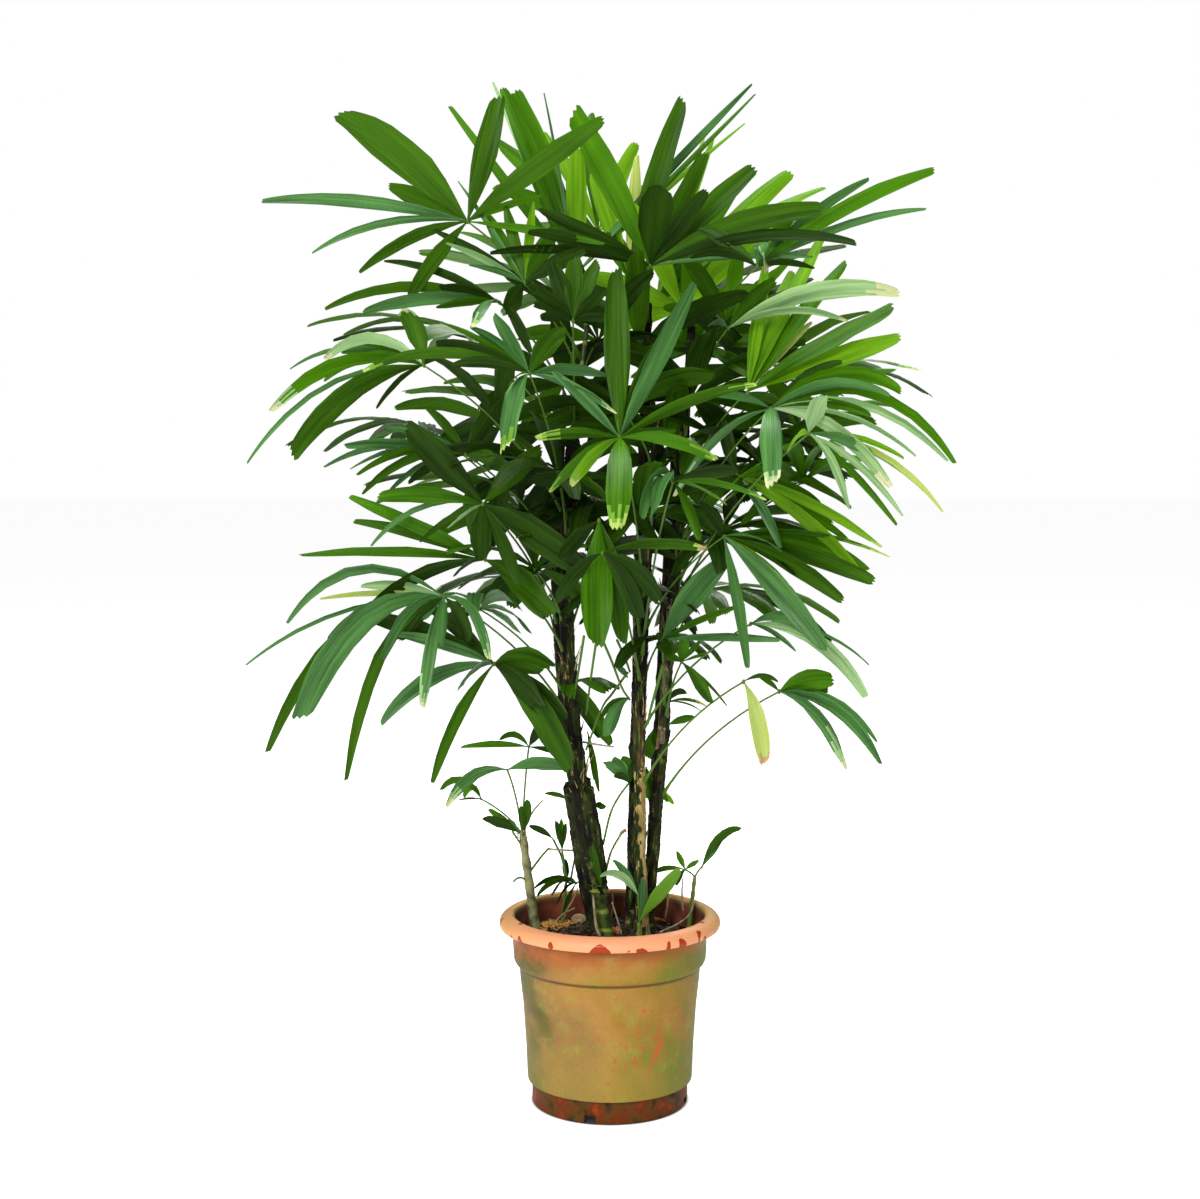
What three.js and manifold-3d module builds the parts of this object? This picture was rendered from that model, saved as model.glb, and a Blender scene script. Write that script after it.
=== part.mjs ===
// A lady palm (Rhapis) in its plastic pot: six sheathed canes, four suckers and forty-eight fronds
// stand in the soil of a round pot with a rolled rim. Millimetres, +Z up, +X to the right, -Y to the
// front, with the origin at the centre of the pot's flat underside.

import * as THREE from 'three';
import { mergeVertices } from 'three/addons/utils/BufferGeometryUtils.js';
import Module from 'manifold-3d';

const wasm = await Module();
wasm.setup();

const DEGREE = Math.PI / 180;
const GAP = 0.3;

// ---------------------------------------------------------------- driving dimensions

// The pot is 286 mm across its rim and 246 mm high, moulded with a 3 mm wall. It stands on a
// round pad and on the ring of its foot, with a channel between them and four drain notches.
const POT_SIDES = 36;
const PAD_RADIUS = 70;
const CHANNEL = { inner: 74, outer: 88, height: 6 };
const RING_INNER_RADIUS = 92;
const FOOT_RADIUS = 100.7;
const FOOT_HEIGHT = 29;
const NOTCH = { count: 4, width: 15, height: 10, length: 30, firstAngle: -104.6 };
const WALL = 3;
const FLOOR_THICKNESS = 12;

// The rim is a collar that curves from its crest out and down to a round lip.
const RIM_RADIUS = 143;
const RIM_CREST_RADIUS = 127;
const RIM_INNER_RADIUS = 126;
const RIM_UNDERSIDE = 229;
const RIM_LIP = 234;
const RIM_TOP = 246;

// Radius and height along the outer wall: from the foot up the slope, round the groove under the band,
// and up the band to the rim.
const WALL_FOOT_RADIUS = 106.6;
const OUTER_WALL = [[WALL_FOOT_RADIUS, 31], [108.6, 76], [112.2, 129], [117, 169], [121, 180], [125, 190],
  [RIM_INNER_RADIUS, RIM_UNDERSIDE]];

// The soil fills the pot to 34 mm under the top of the rim and falls a little towards the wall.
const SOIL_TOP = 212;
const SOIL_EDGE_DROP = 4;
const SOIL_FLAT_RADIUS = 108;

// Canes: foot and top of each cane's axis, how far it bows sideways halfway up, and its radius.
const CANE_SIDES = 8;
const SHEATH_LENGTH = 90;
const SHEATH_STEP = 0.09;
const SHEATH_SHARE = 0.94;
const FOOT_FLARE = 0.22;
const FLARE_REACH = 0.03;
const CANE_THINNING = 0.08;
const SLIM_FROM = 0.8;
const SLIM_WITHIN = 0.08;
const CANES = {
  left_back: { foot: [-13, 45], top: [-60, 45, 905], bow: -25, radius: 9.5, tip: 5 },
  left_front: { foot: [-4, 5], top: [-19, 10, 1068], bow: -44, radius: 9.5, tip: 3.4, slimFrom: 0.72 },
  centre_back: { foot: [28, 50], top: [49, 30, 1030], bow: 0, radius: 8, tip: 5 },
  centre_front: { foot: [43, 0], top: [60, 0, 880], bow: -12, radius: 7.5, tip: 5 },
  right_back: { foot: [50, 62], top: [88, 72, 900], bow: 0, radius: 7, tip: 5 },
  right_front: { foot: [48, 27], top: [104, 20, 1000], bow: 2, radius: 8, tip: 5 },
};

// Petioles are thin rods that leave the cane steeply and lean out to the hub of their fan. Their knee
// lies at these shares of the way out and of the way up.
const PETIOLE_RADIUS = 2.3;
const PETIOLE_SLOPE = 0.75;
const PETIOLE_RISE = 30;
const PETIOLE_SEGMENTS = 3;
const KNEE_OUT = 0.35;
const KNEE_UP = 0.62;
const LEAST_SHARE_UP = 0.08;
const GREATEST_SHARE_UP = 0.97;
const KNOB_REACH = 4;
const SMALL_KNOB_REACH = 2.5;
const KNOB_FLATNESS = 0.62;

// Leaflets: where their rings lie on the twelve steps of the path, for long and for short ones, how
// narrow they begin at the hub, how much of the room between their neighbours they fill near it, and how
// thick, cupped and bent they are.
const PATH_STEPS = 12;
const RING_STEPS = [3, 7, 12];
const SHORT_RING_STEPS = [5, 12];
const SHORT_LEAFLET = 100;
const ROOT_SHARE = 0.04;
const ROOM_SHARE = 0.85;
const THICKNESS_PER_LENGTH = 0.012;
const LEAST_THICKNESS = 1.6;
const FULL_FROM = 0.45;
const CLOSING_FROM = 0.6;
const CLOSING = 0.25;
const TIP_SHARE = 0.55;
const CUP = 8;
const DROOP_POWER = 1.3;

// How far neighbouring leaflets differ: in their angle, as a share of their room, and in degrees of cup
// and twist; and the share of a fan's droop that differs between them.
const ANGLE_PLAY = 0.2;
const CUP_PLAY = 10;
const TWIST_PLAY = 40;
const DROOP_PLAY = 0.5;

// Relative lengths and widths of a fan's leaflets, for the fans that are plain.
const EVEN_FAN = { lengths: [0.5, 0.7, 0.9, 1, 1, 0.9, 0.7, 0.5], widths: [1, 0.8, 1, 0.9, 1, 0.8, 1, 0.8] };
const SMALL_FAN = { lengths: [0.6, 0.8, 1, 0.9, 1, 0.8, 0.6], widths: [1, 0.9, 1, 1, 1, 0.9, 1] };

// Fronds, from the outermost and most open ones to the inner ones. hub is the point where the leaflets
// spread. turn gives the fan's heading in plan (0 to the right, -90 to the front), its climb above
// level and its roll. fan gives the middle of the spread, off the heading, and the whole spread.
// blade gives the length and width of a full leaflet, and droop how strongly the leaflets bend down.
const FRONDS = [
  { cane: 'left_front', hub: [-175, -60, 1120], turn: [-90, 62, 0], fan: [8, 235], blade: [220, 30],
    droop: 0.25, lengths: [0.75, 0.5, 1, 0.4, 0.75, 0.45, 0.92, 1.15, 0.8, 0.55],
    widths: [0.4, 0.5, 0.7, 0.7, 0.75, 0.6, 1.35, 0.4, 0.4, 0.5] },
  { cane: 'centre_back', hub: [50, -20, 1070], turn: [-90, 68, 0], fan: [0, 165], blade: [232, 30],
    droop: 0.2, lengths: [1.15, 1, 0.85, 0.72, 0.92, 0.5, 0.95, 0.6, 0.75, 0.9],
    widths: [0.3, 0.6, 0.8, 0.8, 0.9, 1.1, 0.9, 0.7, 0.4, 0.3] },
  { cane: 'left_front', hub: [-45, 60, 1065], turn: [90, 72, 0], fan: [-20, 66], blade: [275, 26],
    droop: 0.25, lengths: [1.15, 1.05, 1, 0.7, 0.5], widths: [0.35, 0.6, 1, 0.9, 0.4] },
  { cane: 'centre_back', hub: [25, 60, 1060], turn: [90, 72, 0], fan: [0, 80], blade: [230, 24],
    droop: 0.3, lengths: [0.7, 0.8, 0.6, 0.7], widths: [0.8, 0.8, 0.7, 0.8] },
  { cane: 'centre_back', hub: [60, 80, 1030], turn: [90, 66, 0], fan: [18, 100], blade: [290, 24],
    droop: 0.25, lengths: [0.75, 0.75, 0.92, 1.2, 0.95, 1, 0.7],
    widths: [0.7, 0.6, 0.9, 0.5, 0.9, 0.8, 0.5] },
  { cane: 'left_front', hub: [-105, -60, 1045], turn: [-90, 65, 0], fan: [10, 190], blade: [155, 18],
    droop: 0.3, lengths: [0.6, 0.8, 0.7, 0.8, 0.8, 0.75, 1, 0.7],
    widths: [1, 1, 0.9, 0.6, 0.5, 0.8, 0.5, 0.6] },
  { cane: 'left_front', hub: [-135, -80, 1020], turn: [185, 4, 10], fan: [0, 120], blade: [225, 16],
    droop: 0.3, lengths: [0.5, 0.85, 1, 0.8, 0.6], widths: [1, 0.9, 0.8, 0.6, 0.5] },
  { cane: 'left_front', hub: [-45, -120, 995], turn: [-90, 60, 0], fan: [0, 140], blade: [75, 14],
    droop: 0.2, lengths: [0.7, 1, 0.9, 1, 0.8], widths: [1, 1, 1, 1, 1] },
  { cane: 'right_front', hub: [180, -60, 1065], turn: [0, 24, 5], fan: [0, 150], blade: [262, 18],
    droop: 0.3, lengths: [0.6, 0.75, 1, 0.95, 0.55, 0.35], widths: [0.9, 0.9, 0.8, 0.8, 1, 1.3] },
  { cane: 'right_front', hub: [175, 0, 940], turn: [90, 55, 0], fan: [46, 60], blade: [218, 30],
    droop: 0.35, lengths: [0.7, 0.95, 0.85, 0.5, 1, 0.95], widths: [0.6, 0.9, 0.8, 0.8, 1.1, 0.9] },
  { cane: 'right_front', hub: [145, -60, 990], turn: [-5, 10, 25], fan: [0, 80], blade: [220, 18],
    droop: 0.4, lengths: [0.55, 0.8, 1.05, 0.7], widths: [0.7, 0.7, 0.9, 0.8] },
  { cane: 'right_front', hub: [190, -150, 890], turn: [-28, 15, -12], fan: [0, 240], blade: [230, 26],
    droop: 1.5, lengths: [0.5, 0.8, 0.9, 1, 1.1, 1.1, 0.9, 0.62, 0.5, 0.4],
    widths: [0.6, 0.8, 1, 0.8, 0.8, 0.8, 1.1, 1.5, 0.6, 0.8] },
  { cane: 'right_front', hub: [230, -200, 860], turn: [-45, 0, -10], fan: [0, 130], blade: [200, 16],
    droop: 1.5, lengths: [0.6, 0.9, 1, 0.95, 1, 0.4], widths: [0.8, 0.8, 0.7, 0.8, 0.9, 0.9] },
  { cane: 'centre_front', hub: [140, -80, 735], turn: [-35, -2, -15], fan: [0, 170], blade: [225, 26],
    droop: 1, lengths: [0.95, 0.95, 0.9, 0.75, 0.95, 0.6, 0.85],
    widths: [0.6, 1.1, 0.9, 0.7, 1.2, 0.7, 0.5] },
  { cane: 'centre_front', hub: [175, -60, 625], turn: [-15, 12, -20], fan: [0, 90], blade: [185, 18],
    droop: 2.2, lengths: [0.7, 0.95, 1.1, 0.45], widths: [0.4, 0.5, 1.1, 0.5] },
  { cane: 'right_front', hub: [90, -60, 630], turn: [-5, 5, -15], fan: [0, 120], blade: [140, 18],
    droop: 0.6, lengths: [0.5, 0.85, 0.95, 0.6], widths: [0.7, 0.9, 0.9, 0.8] },
  { cane: 'right_front', hub: [215, -20, 535], turn: [-20, 2, -30], fan: [0, 130], blade: [170, 22],
    droop: 1.7, lengths: [0.5, 1, 1.05, 0.9, 0.2], widths: [1.4, 0.5, 0.9, 1.2, 0.6] },
  { cane: 'centre_front', hub: [165, -80, 555], turn: [-30, -10, -20], fan: [-40, 90], blade: [120, 18],
    droop: 2.2, lengths: [0.3, 0.45, 1], widths: [0.4, 0.5, 1.1] },
  { cane: 'centre_front', hub: [10, -220, 855], turn: [90, 62, 0], fan: [-6, 300], blade: [212, 24],
    droop: 0.35, lengths: [0.5, 0.5, 0.55, 0.3, 1, 1.05, 0.9, 0.6, 0.6],
    widths: [0.7, 0.7, 0.7, 0.6, 1, 0.8, 0.8, 0.9, 1] },
  { cane: 'left_front', hub: [-95, -180, 930], turn: [-130, 12, 0], fan: [0, 250], blade: [190, 20],
    droop: 1.1, lengths: [0.5, 0.5, 0.85, 0.7, 1.1, 0.6, 0.4], widths: [0.8, 0.8, 1.1, 0.8, 0.8, 1, 1] },
  { cane: 'centre_front', hub: [70, -260, 805], turn: [-70, 0, 0], fan: [0, 150], blade: [120, 26],
    droop: 1, lengths: [0.9, 0.55, 0.4, 0.5, 0.4], widths: [0.7, 0.9, 1.1, 1.4, 1] },
  { cane: 'centre_front', hub: [-10, -180, 720], turn: [-95, 0, 0], fan: [0, 170], blade: [175, 34],
    droop: 2.2, lengths: [0.8, 0.6, 0.8, 0.95, 0.35], widths: [0.6, 0.6, 0.9, 1.1, 0.6] },
  { cane: 'left_front', hub: [-230, -60, 945], turn: [195, 10, 20], fan: [0, 220], blade: [232, 24],
    droop: 1.9, lengths: [0.25, 0.3, 0.4, 1, 1.1, 1, 0.75, 0.5, 0.45],
    widths: [0.6, 0.8, 0.9, 1.5, 0.7, 0.8, 0.7, 0.9, 0.9] },
  { cane: 'left_front', hub: [-180, -40, 835], turn: [185, 16, 20], fan: [0, 200], blade: [170, 16],
    droop: 0.8, lengths: [0.4, 0.6, 0.8, 1, 0.9, 0.8, 0.6, 0.5],
    widths: [1, 0.8, 0.9, 0.7, 0.8, 1, 0.8, 1] },
  { cane: 'left_back', hub: [-155, -100, 775], turn: [195, 5, 10], fan: [0, 230], blade: [130, 20],
    droop: 0.8, lengths: [0.6, 0.5, 0.9, 1, 0.9, 0.6, 0.5], widths: [1, 0.8, 0.8, 0.8, 0.9, 0.9, 1] },
  { cane: 'left_front', hub: [-155, -60, 705], turn: [190, 12, 18], fan: [0, 250], blade: [225, 22],
    droop: 0.6, lengths: [0.6, 0.4, 0.35, 0.8, 1.05, 0.85, 0.7, 0.5],
    widths: [1.7, 1.2, 0.6, 0.9, 0.7, 0.8, 0.9, 1.2] },
  { cane: 'left_front', hub: [-205, -80, 660], turn: [212, 15, 18], fan: [0, 240], blade: [285, 24],
    droop: 3, lengths: [0.45, 0.35, 0.5, 0.95, 1.03, 1.12, 0.9, 0.7, 0.5],
    widths: [0.8, 0.8, 0.8, 0.9, 1.5, 0.9, 0.6, 0.8, 0.8] },
  { cane: 'left_front', hub: [-145, -60, 575], turn: [230, 0, 15], fan: [0, 240], blade: [190, 26],
    droop: 2.2, lengths: [0.95, 0.95, 0.5, 1.15, 0.35, 1, 0.5],
    widths: [1.1, 1.4, 0.6, 0.6, 0.6, 0.8, 1] },
  { cane: 'left_back', hub: [-70, 140, 880], turn: [120, 25, 0], fan: [0, 240], blade: [240, 29],
    droop: 0.8, ...EVEN_FAN },
  { cane: 'right_back', hub: [110, 170, 910], turn: [60, 25, 0], fan: [0, 240], blade: [240, 29],
    droop: 0.8, ...EVEN_FAN },
  { cane: 'left_back', hub: [-120, 130, 775], turn: [150, 15, 0], fan: [0, 230], blade: [230, 29],
    droop: 0.9, ...EVEN_FAN },
  { cane: 'centre_back', hub: [40, 200, 770], turn: [85, 10, 0], fan: [0, 230], blade: [240, 29],
    droop: 0.9, ...EVEN_FAN },
  { cane: 'centre_back', hub: [-70, 190, 1050], turn: [115, 35, 0], fan: [0, 220], blade: [230, 29],
    droop: 0.6, ...EVEN_FAN },
  { cane: 'centre_back', hub: [125, 190, 1050], turn: [50, 38, 0], fan: [0, 220], blade: [230, 29],
    droop: 0.6, ...EVEN_FAN },
  { cane: 'right_front', hub: [175, 40, 810], turn: [15, 8, -10], fan: [0, 220], blade: [180, 29],
    droop: 0.9, ...EVEN_FAN },
  { cane: 'left_back', hub: [-180, 110, 985], turn: [165, 15, 0], fan: [0, 220], blade: [225, 27],
    droop: 0.7, ...EVEN_FAN },
  { cane: 'left_back', hub: [-95, 140, 665], turn: [140, 5, 0], fan: [0, 220], blade: [210, 27],
    droop: 1.1, ...EVEN_FAN },
  { cane: 'right_back', hub: [125, 160, 650], turn: [35, 5, 0], fan: [0, 220], blade: [220, 27],
    droop: 1.1, ...EVEN_FAN },
  { cane: 'right_back', hub: [260, 130, 950], turn: [20, 15, 0], fan: [0, 220], blade: [200, 27],
    droop: 0.7, ...EVEN_FAN },
  { cane: 'left_front', hub: [-15, 20, 980], turn: [-120, 50, 0], fan: [0, 240], blade: [150, 25],
    droop: 0.4, ...SMALL_FAN },
  { cane: 'right_front', hub: [120, 30, 970], turn: [60, 50, 0], fan: [0, 220], blade: [170, 27],
    droop: 0.5, ...SMALL_FAN },
  { cane: 'left_front', hub: [-65, -60, 815], turn: [-160, 15, 0], fan: [0, 240], blade: [160, 27],
    droop: 0.9, ...SMALL_FAN },
  { cane: 'right_front', hub: [130, 10, 730], turn: [-10, 15, -10], fan: [0, 240], blade: [160, 27],
    droop: 0.9, ...SMALL_FAN },
  { cane: 'left_back', hub: [-245, 110, 870], turn: [175, 10, 0], fan: [0, 220], blade: [190, 27],
    droop: 0.8, ...EVEN_FAN },
  { cane: 'centre_back', hub: [-15, 150, 1130], turn: [95, 60, 0], fan: [0, 160], blade: [215, 29],
    droop: 0.3, lengths: SMALL_FAN.lengths, widths: [0.8, 0.9, 1, 1, 1, 0.9, 0.8] },
  { cane: 'centre_back', hub: [-15, 60, 775], turn: [-100, 0, 0], fan: [0, 240], blade: [175, 28],
    droop: 1.2, ...SMALL_FAN },
  { cane: 'right_back', hub: [120, 60, 855], turn: [-20, 10, 0], fan: [0, 240], blade: [180, 28],
    droop: 0.9, ...SMALL_FAN },
  { cane: 'right_front', hub: [90, -40, 575], turn: [-30, 35, -30], fan: [0, 170], blade: [75, 12],
    droop: 1.4, lengths: [0.6, 0.8, 0.7, 1.2, 0.8, 0.5], widths: [1, 0.9, 1, 0.5, 1.6, 1] },
];

// Suckers: a short stem from the soil, and small fans that stand on it or on a petiole of their own.
const STEM_SIDES = 6;
const STEM_FLARE = 1.15;
const SMALL_PETIOLE_RADIUS = 1.6;
const SUCKER_SEED = 900;
const SUCKERS = {
  left: { foot: [-98, 46], top: [-115, 50, 342], radius: 7, tip: 5, fans: [
    { hub: [-116, 50, 341], turn: [-90, 80, 0], fan: [15, 100], blade: [44, 16], droop: 0.1,
      lengths: [0.8, 1, 1.05], widths: [0.25, 1, 0.95] },
    { hub: [-133, 24, 420], turn: [-90, 75, 0], fan: [0, 130], blade: [120, 17], droop: 1.1,
      lengths: [0.78, 1], widths: [1, 1] },
    { hub: [-107, 55, 453], turn: [-90, 70, 0], fan: [10, 150], blade: [88, 11], droop: 0.5,
      lengths: [0.35, 0.42, 0.42, 1], widths: [1, 1.2, 1.2, 0.9] },
    { hub: [-169, 50, 386], turn: [-90, 70, 0], fan: [45, 80], blade: [52, 13], droop: 0.9,
      lengths: [0.35, 0.7, 1], widths: [1, 1, 0.8] },
  ] },
  back: { foot: [-62, 78], top: [-58, 80, 268], radius: 4, tip: 2.6, fans: [
    { hub: [-63, 80, 311], turn: [-90, 84, 0], fan: [0, 30], blade: [40, 8], droop: 0,
      lengths: [0.85, 1, 0.9], widths: [1, 1, 0.9] },
    { hub: [-58, 80, 266], turn: [-90, 60, 0], fan: [0, 170], blade: [55, 12], droop: 1.3,
      lengths: [0.7, 0.8, 0.9, 1], widths: [1, 0.8, 1, 0.8] },
  ] },
  front: { foot: [37, -38], top: [37, -36, 241], radius: 3.4, tip: 3, fans: [
    { hub: [37, -36, 240], turn: [-90, 72, 0], fan: [3, 76], blade: [92, 15], droop: 0.35,
      lengths: [0.92, 0.57, 0.93, 0.88], widths: [1.15, 0.65, 0.7, 0.65] },
  ] },
  right: { foot: [104, 40], top: [112, 42, 284], radius: 4, tip: 2.8, fans: [
    { hub: [115, 42, 294], turn: [-90, 70, 0], fan: [-48, 14], blade: [78, 13], droop: 0.25,
      lengths: [1, 0.45], widths: [1, 0.5] },
    { hub: [101, 40, 293], turn: [-90, 70, 0], fan: [20, 180], blade: [46, 8], droop: 0.9,
      lengths: [0.45, 0.55, 1, 0.6], widths: [0.9, 0.9, 1, 0.9] },
  ] },
};

// Where two leaves of different fronds would meet, a leaflet swings aside, lifts or shortens a little,
// tried in this order, and is left out when nothing helps.
const SWINGS = [[0, 0], [5, 4], [-5, 4], [5, -4], [-5, -4], [9, 9], [-9, 9], [9, -9], [-9, -9]];
const SHORTENINGS = [1, 0.88, 0.75, 0.6, 0.45];
const PETIOLE_SHIFTS = [0, -18, 18, -36, 36, -54, -72, 54, -90, -110, 72, 90];
const PETIOLE_SWINGS = [0, 25, -25, 50, -50, 80, -80];

const COLOURS = {
  pot: 0xa38a45,
  soil: 0x2a1c12,
  cane: 0x35291b,
  sucker: 0x55753a,
  frond: 0x3b6a2a,
};

// ---------------------------------------------------------------- small tools

// A repeatable number from 0 to 1: the fraction of a large sine.
function noise(n) {
  const value = Math.sin(n * 12.9898 + 4.137) * 43758.5453;
  return value - Math.floor(value);
}

function vector([x, y, z]) {
  return new THREE.Vector3(x, y, z);
}

// A closed skin over rings of corners. Each ring runs anticlockwise seen against the way of travel.
function loft(rings) {
  const sides = rings[0].length;
  const points = rings.flat();
  const faces = [];
  for (let ring = 0; ring < rings.length - 1; ring += 1) {
    for (let side = 0; side < sides; side += 1) {
      const here = ring * sides + side;
      const next = ring * sides + (side + 1) % sides;
      faces.push(here, next, next + sides);
      faces.push(here, next + sides, here + sides);
    }
  }
  const last = (rings.length - 1) * sides;
  for (let side = 1; side < sides - 1; side += 1) {
    faces.push(0, side + 1, side);
    faces.push(last, last + side, last + side + 1);
  }
  const geometry = new THREE.BufferGeometry().setFromPoints(points);
  geometry.setIndex(faces);
  return geometry;
}

function toSolid(geometry) {
  const bare = geometry.clone();
  bare.deleteAttribute('normal');
  bare.deleteAttribute('uv');
  const merged = mergeVertices(bare, 1e-3);
  return new wasm.Manifold(new wasm.Mesh({
    numProp: 3,
    vertProperties: new Float32Array(merged.attributes.position.array),
    triVerts: new Uint32Array(merged.index.array),
  }));
}

function toGeometry(solid) {
  const { vertProperties, triVerts } = solid.getMesh();
  const geometry = new THREE.BufferGeometry();
  geometry.setAttribute('position', new THREE.BufferAttribute(vertProperties, 3));
  geometry.setIndex(new THREE.BufferAttribute(triVerts, 1));
  return geometry;
}

// Joins solids and keeps the largest body: loose scraps go, and a hollow that is sealed is filled.
function fuse(solids) {
  const joined = solids.reduce((whole, solid) => whole.add(solid));
  const bodies = joined.decompose();
  return bodies.reduce((largest, body) => (body.volume() > largest.volume() ? body : largest));
}

function boxesMeet(a, b) {
  return a.min.every((low, axis) => low - GAP < b.max[axis] && a.max[axis] + GAP > b.min[axis]);
}

// Solids that are already in place, each with the name of the node that it belongs to.
const placed = [];

function place(solid, owner) {
  placed.push({ solid, owner, box: solid.boundingBox() });
}

function isFree(solid, owner) {
  const box = solid.boundingBox();
  return placed.every((other) => other.owner === owner || !boxesMeet(box, other.box)
    || solid.minGap(other.solid, GAP) >= GAP);
}

// ---------------------------------------------------------------- pot and soil

// The inner wall from the floor to the rim: the outer wall's outline, one wall thickness further in.
const INNER_WALL = [
  [FOOT_RADIUS - WALL, FLOOR_THICKNESS],
  [FOOT_RADIUS - WALL, FOOT_HEIGHT + WALL],
  [WALL_FOOT_RADIUS - WALL, OUTER_WALL[0][1] + WALL],
  ...OUTER_WALL.slice(1).map(([radius, height]) => [radius - WALL, height]),
];

function makePot() {
  const outline = [
    [0, 0],
    [PAD_RADIUS, 0],
    [CHANNEL.inner, CHANNEL.height],
    [CHANNEL.outer, CHANNEL.height],
    [RING_INNER_RADIUS, 0],
    [FOOT_RADIUS, 0],
    [FOOT_RADIUS, FOOT_HEIGHT],
    ...OUTER_WALL,
  ];
  for (let angle = -22.5; angle <= 90; angle += 22.5) {
    outline.push([
      RIM_CREST_RADIUS + (RIM_RADIUS - RIM_CREST_RADIUS) * Math.cos(angle * DEGREE),
      RIM_LIP + (RIM_TOP - RIM_LIP) * Math.sin(angle * DEGREE),
    ]);
  }
  outline.push(...INNER_WALL.toReversed(), [0, FLOOR_THICKNESS]);
  let pot = latheSolid(outline);
  const notch = new THREE.BoxGeometry(NOTCH.length, NOTCH.width, 2 * NOTCH.height);
  notch.translate(FOOT_RADIUS, 0, 0);
  for (let index = 0; index < NOTCH.count; index += 1) {
    const angle = (NOTCH.firstAngle + index * 360 / NOTCH.count) * DEGREE;
    pot = pot.subtract(toSolid(notch.clone().rotateZ(angle)));
  }
  return pot;
}

// Turns an outline of [radius, height] pairs about Z.
function latheSolid(outline) {
  const points = outline.map(([radius, height]) => new THREE.Vector2(radius, height));
  const geometry = new THREE.LatheGeometry(points, POT_SIDES);
  geometry.rotateX(90 * DEGREE);
  return toSolid(geometry);
}

// The soil follows the inner wall, a gap away from it, and runs straight up along the band to its edge.
function makeSoil() {
  const side = INNER_WALL.slice(0, -1).map(([radius, height]) => [radius - GAP, height + GAP]);
  const [bandRadius] = side.at(-1);
  return latheSolid([
    [0, FLOOR_THICKNESS + GAP],
    ...side,
    [bandRadius, SOIL_TOP - SOIL_EDGE_DROP],
    [SOIL_FLAT_RADIUS, SOIL_TOP],
    [0, SOIL_TOP],
  ]);
}

// ---------------------------------------------------------------- canes

// A cane's axis at the share t of its height: straight from foot to top, bowed sideways by a sine.
function caneAxis(cane, t) {
  const foot = vector([...cane.foot, SOIL_TOP + GAP]);
  const point = foot.lerp(vector(cane.top), t);
  point.x += cane.bow * Math.sin(Math.PI * t);
  return point;
}

// The cane thins slowly, or from slimFrom up at once where only the green spear is left.
function caneRadius(cane, t) {
  const slimFrom = cane.slimFrom ?? SLIM_FROM;
  const slim = THREE.MathUtils.smoothstep(t, slimFrom, slimFrom + SLIM_WITHIN);
  const flare = 1 + FOOT_FLARE * Math.exp(-t / FLARE_REACH);
  return THREE.MathUtils.lerp(cane.radius * (1 - CANE_THINNING * t), cane.tip, slim) * flare;
}

function circle(centre, radius, sides, across, along) {
  return Array.from({ length: sides }, (_, side) => {
    const angle = 2 * Math.PI * side / sides;
    return centre.clone()
      .addScaledVector(across, radius * Math.cos(angle))
      .addScaledVector(along, radius * Math.sin(angle));
  });
}

// Level rings up the axis. Each sheath is widest at its upper edge, where the next one comes out of it.
function makeCane(cane) {
  const right = vector([1, 0, 0]);
  const back = vector([0, 1, 0]);
  const height = cane.top[2] - SOIL_TOP;
  const sheaths = Math.round(height / SHEATH_LENGTH);
  const rings = [];
  for (let sheath = 0; sheath < sheaths; sheath += 1) {
    const low = sheath / sheaths;
    const high = (sheath + SHEATH_SHARE) / sheaths;
    const narrow = caneRadius(cane, low) * (sheath ? 1 - SHEATH_STEP / 2 : 1);
    rings.push(circle(caneAxis(cane, low), narrow, CANE_SIDES, right, back));
    const wide = caneRadius(cane, high) * (1 + SHEATH_STEP / 2);
    rings.push(circle(caneAxis(cane, high), wide, CANE_SIDES, right, back));
  }
  rings.push(circle(caneAxis(cane, 1), cane.tip / 2, CANE_SIDES, right, back));
  return toSolid(loft(rings));
}

// ---------------------------------------------------------------- leaflets and fans

// The fan's own axes: forward along its middle leaflet, right across it, and up out of its face.
function fanAxes([heading, climb, roll]) {
  const h = heading * DEGREE;
  const c = climb * DEGREE;
  const r = roll * DEGREE;
  const forward = vector([Math.cos(c) * Math.cos(h), Math.cos(c) * Math.sin(h), Math.sin(c)]);
  const level = vector([Math.sin(h), -Math.cos(h), 0]);
  const face = level.clone().cross(forward);
  const right = level.clone().multiplyScalar(Math.cos(r)).addScaledVector(face, Math.sin(r));
  const up = face.clone().multiplyScalar(Math.cos(r)).addScaledVector(level, -Math.sin(r));
  return { forward, right, up };
}

// A wedge between its neighbours near the hub, then full, and a little narrower again towards the blunt
// tip. spacing is the angle between neighbours in radians.
function bladeWidth(width, t, distance, spacing) {
  const opening = Math.sin(Math.min(t / FULL_FROM, 1) * 90 * DEGREE);
  const closing = 1 - CLOSING * Math.max(0, (t - CLOSING_FROM) / (1 - CLOSING_FROM)) ** 2;
  const wanted = width * opening * closing * (t === 1 ? TIP_SHARE : 1);
  return Math.min(wanted, ROOM_SHARE * spacing * distance);
}

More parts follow.
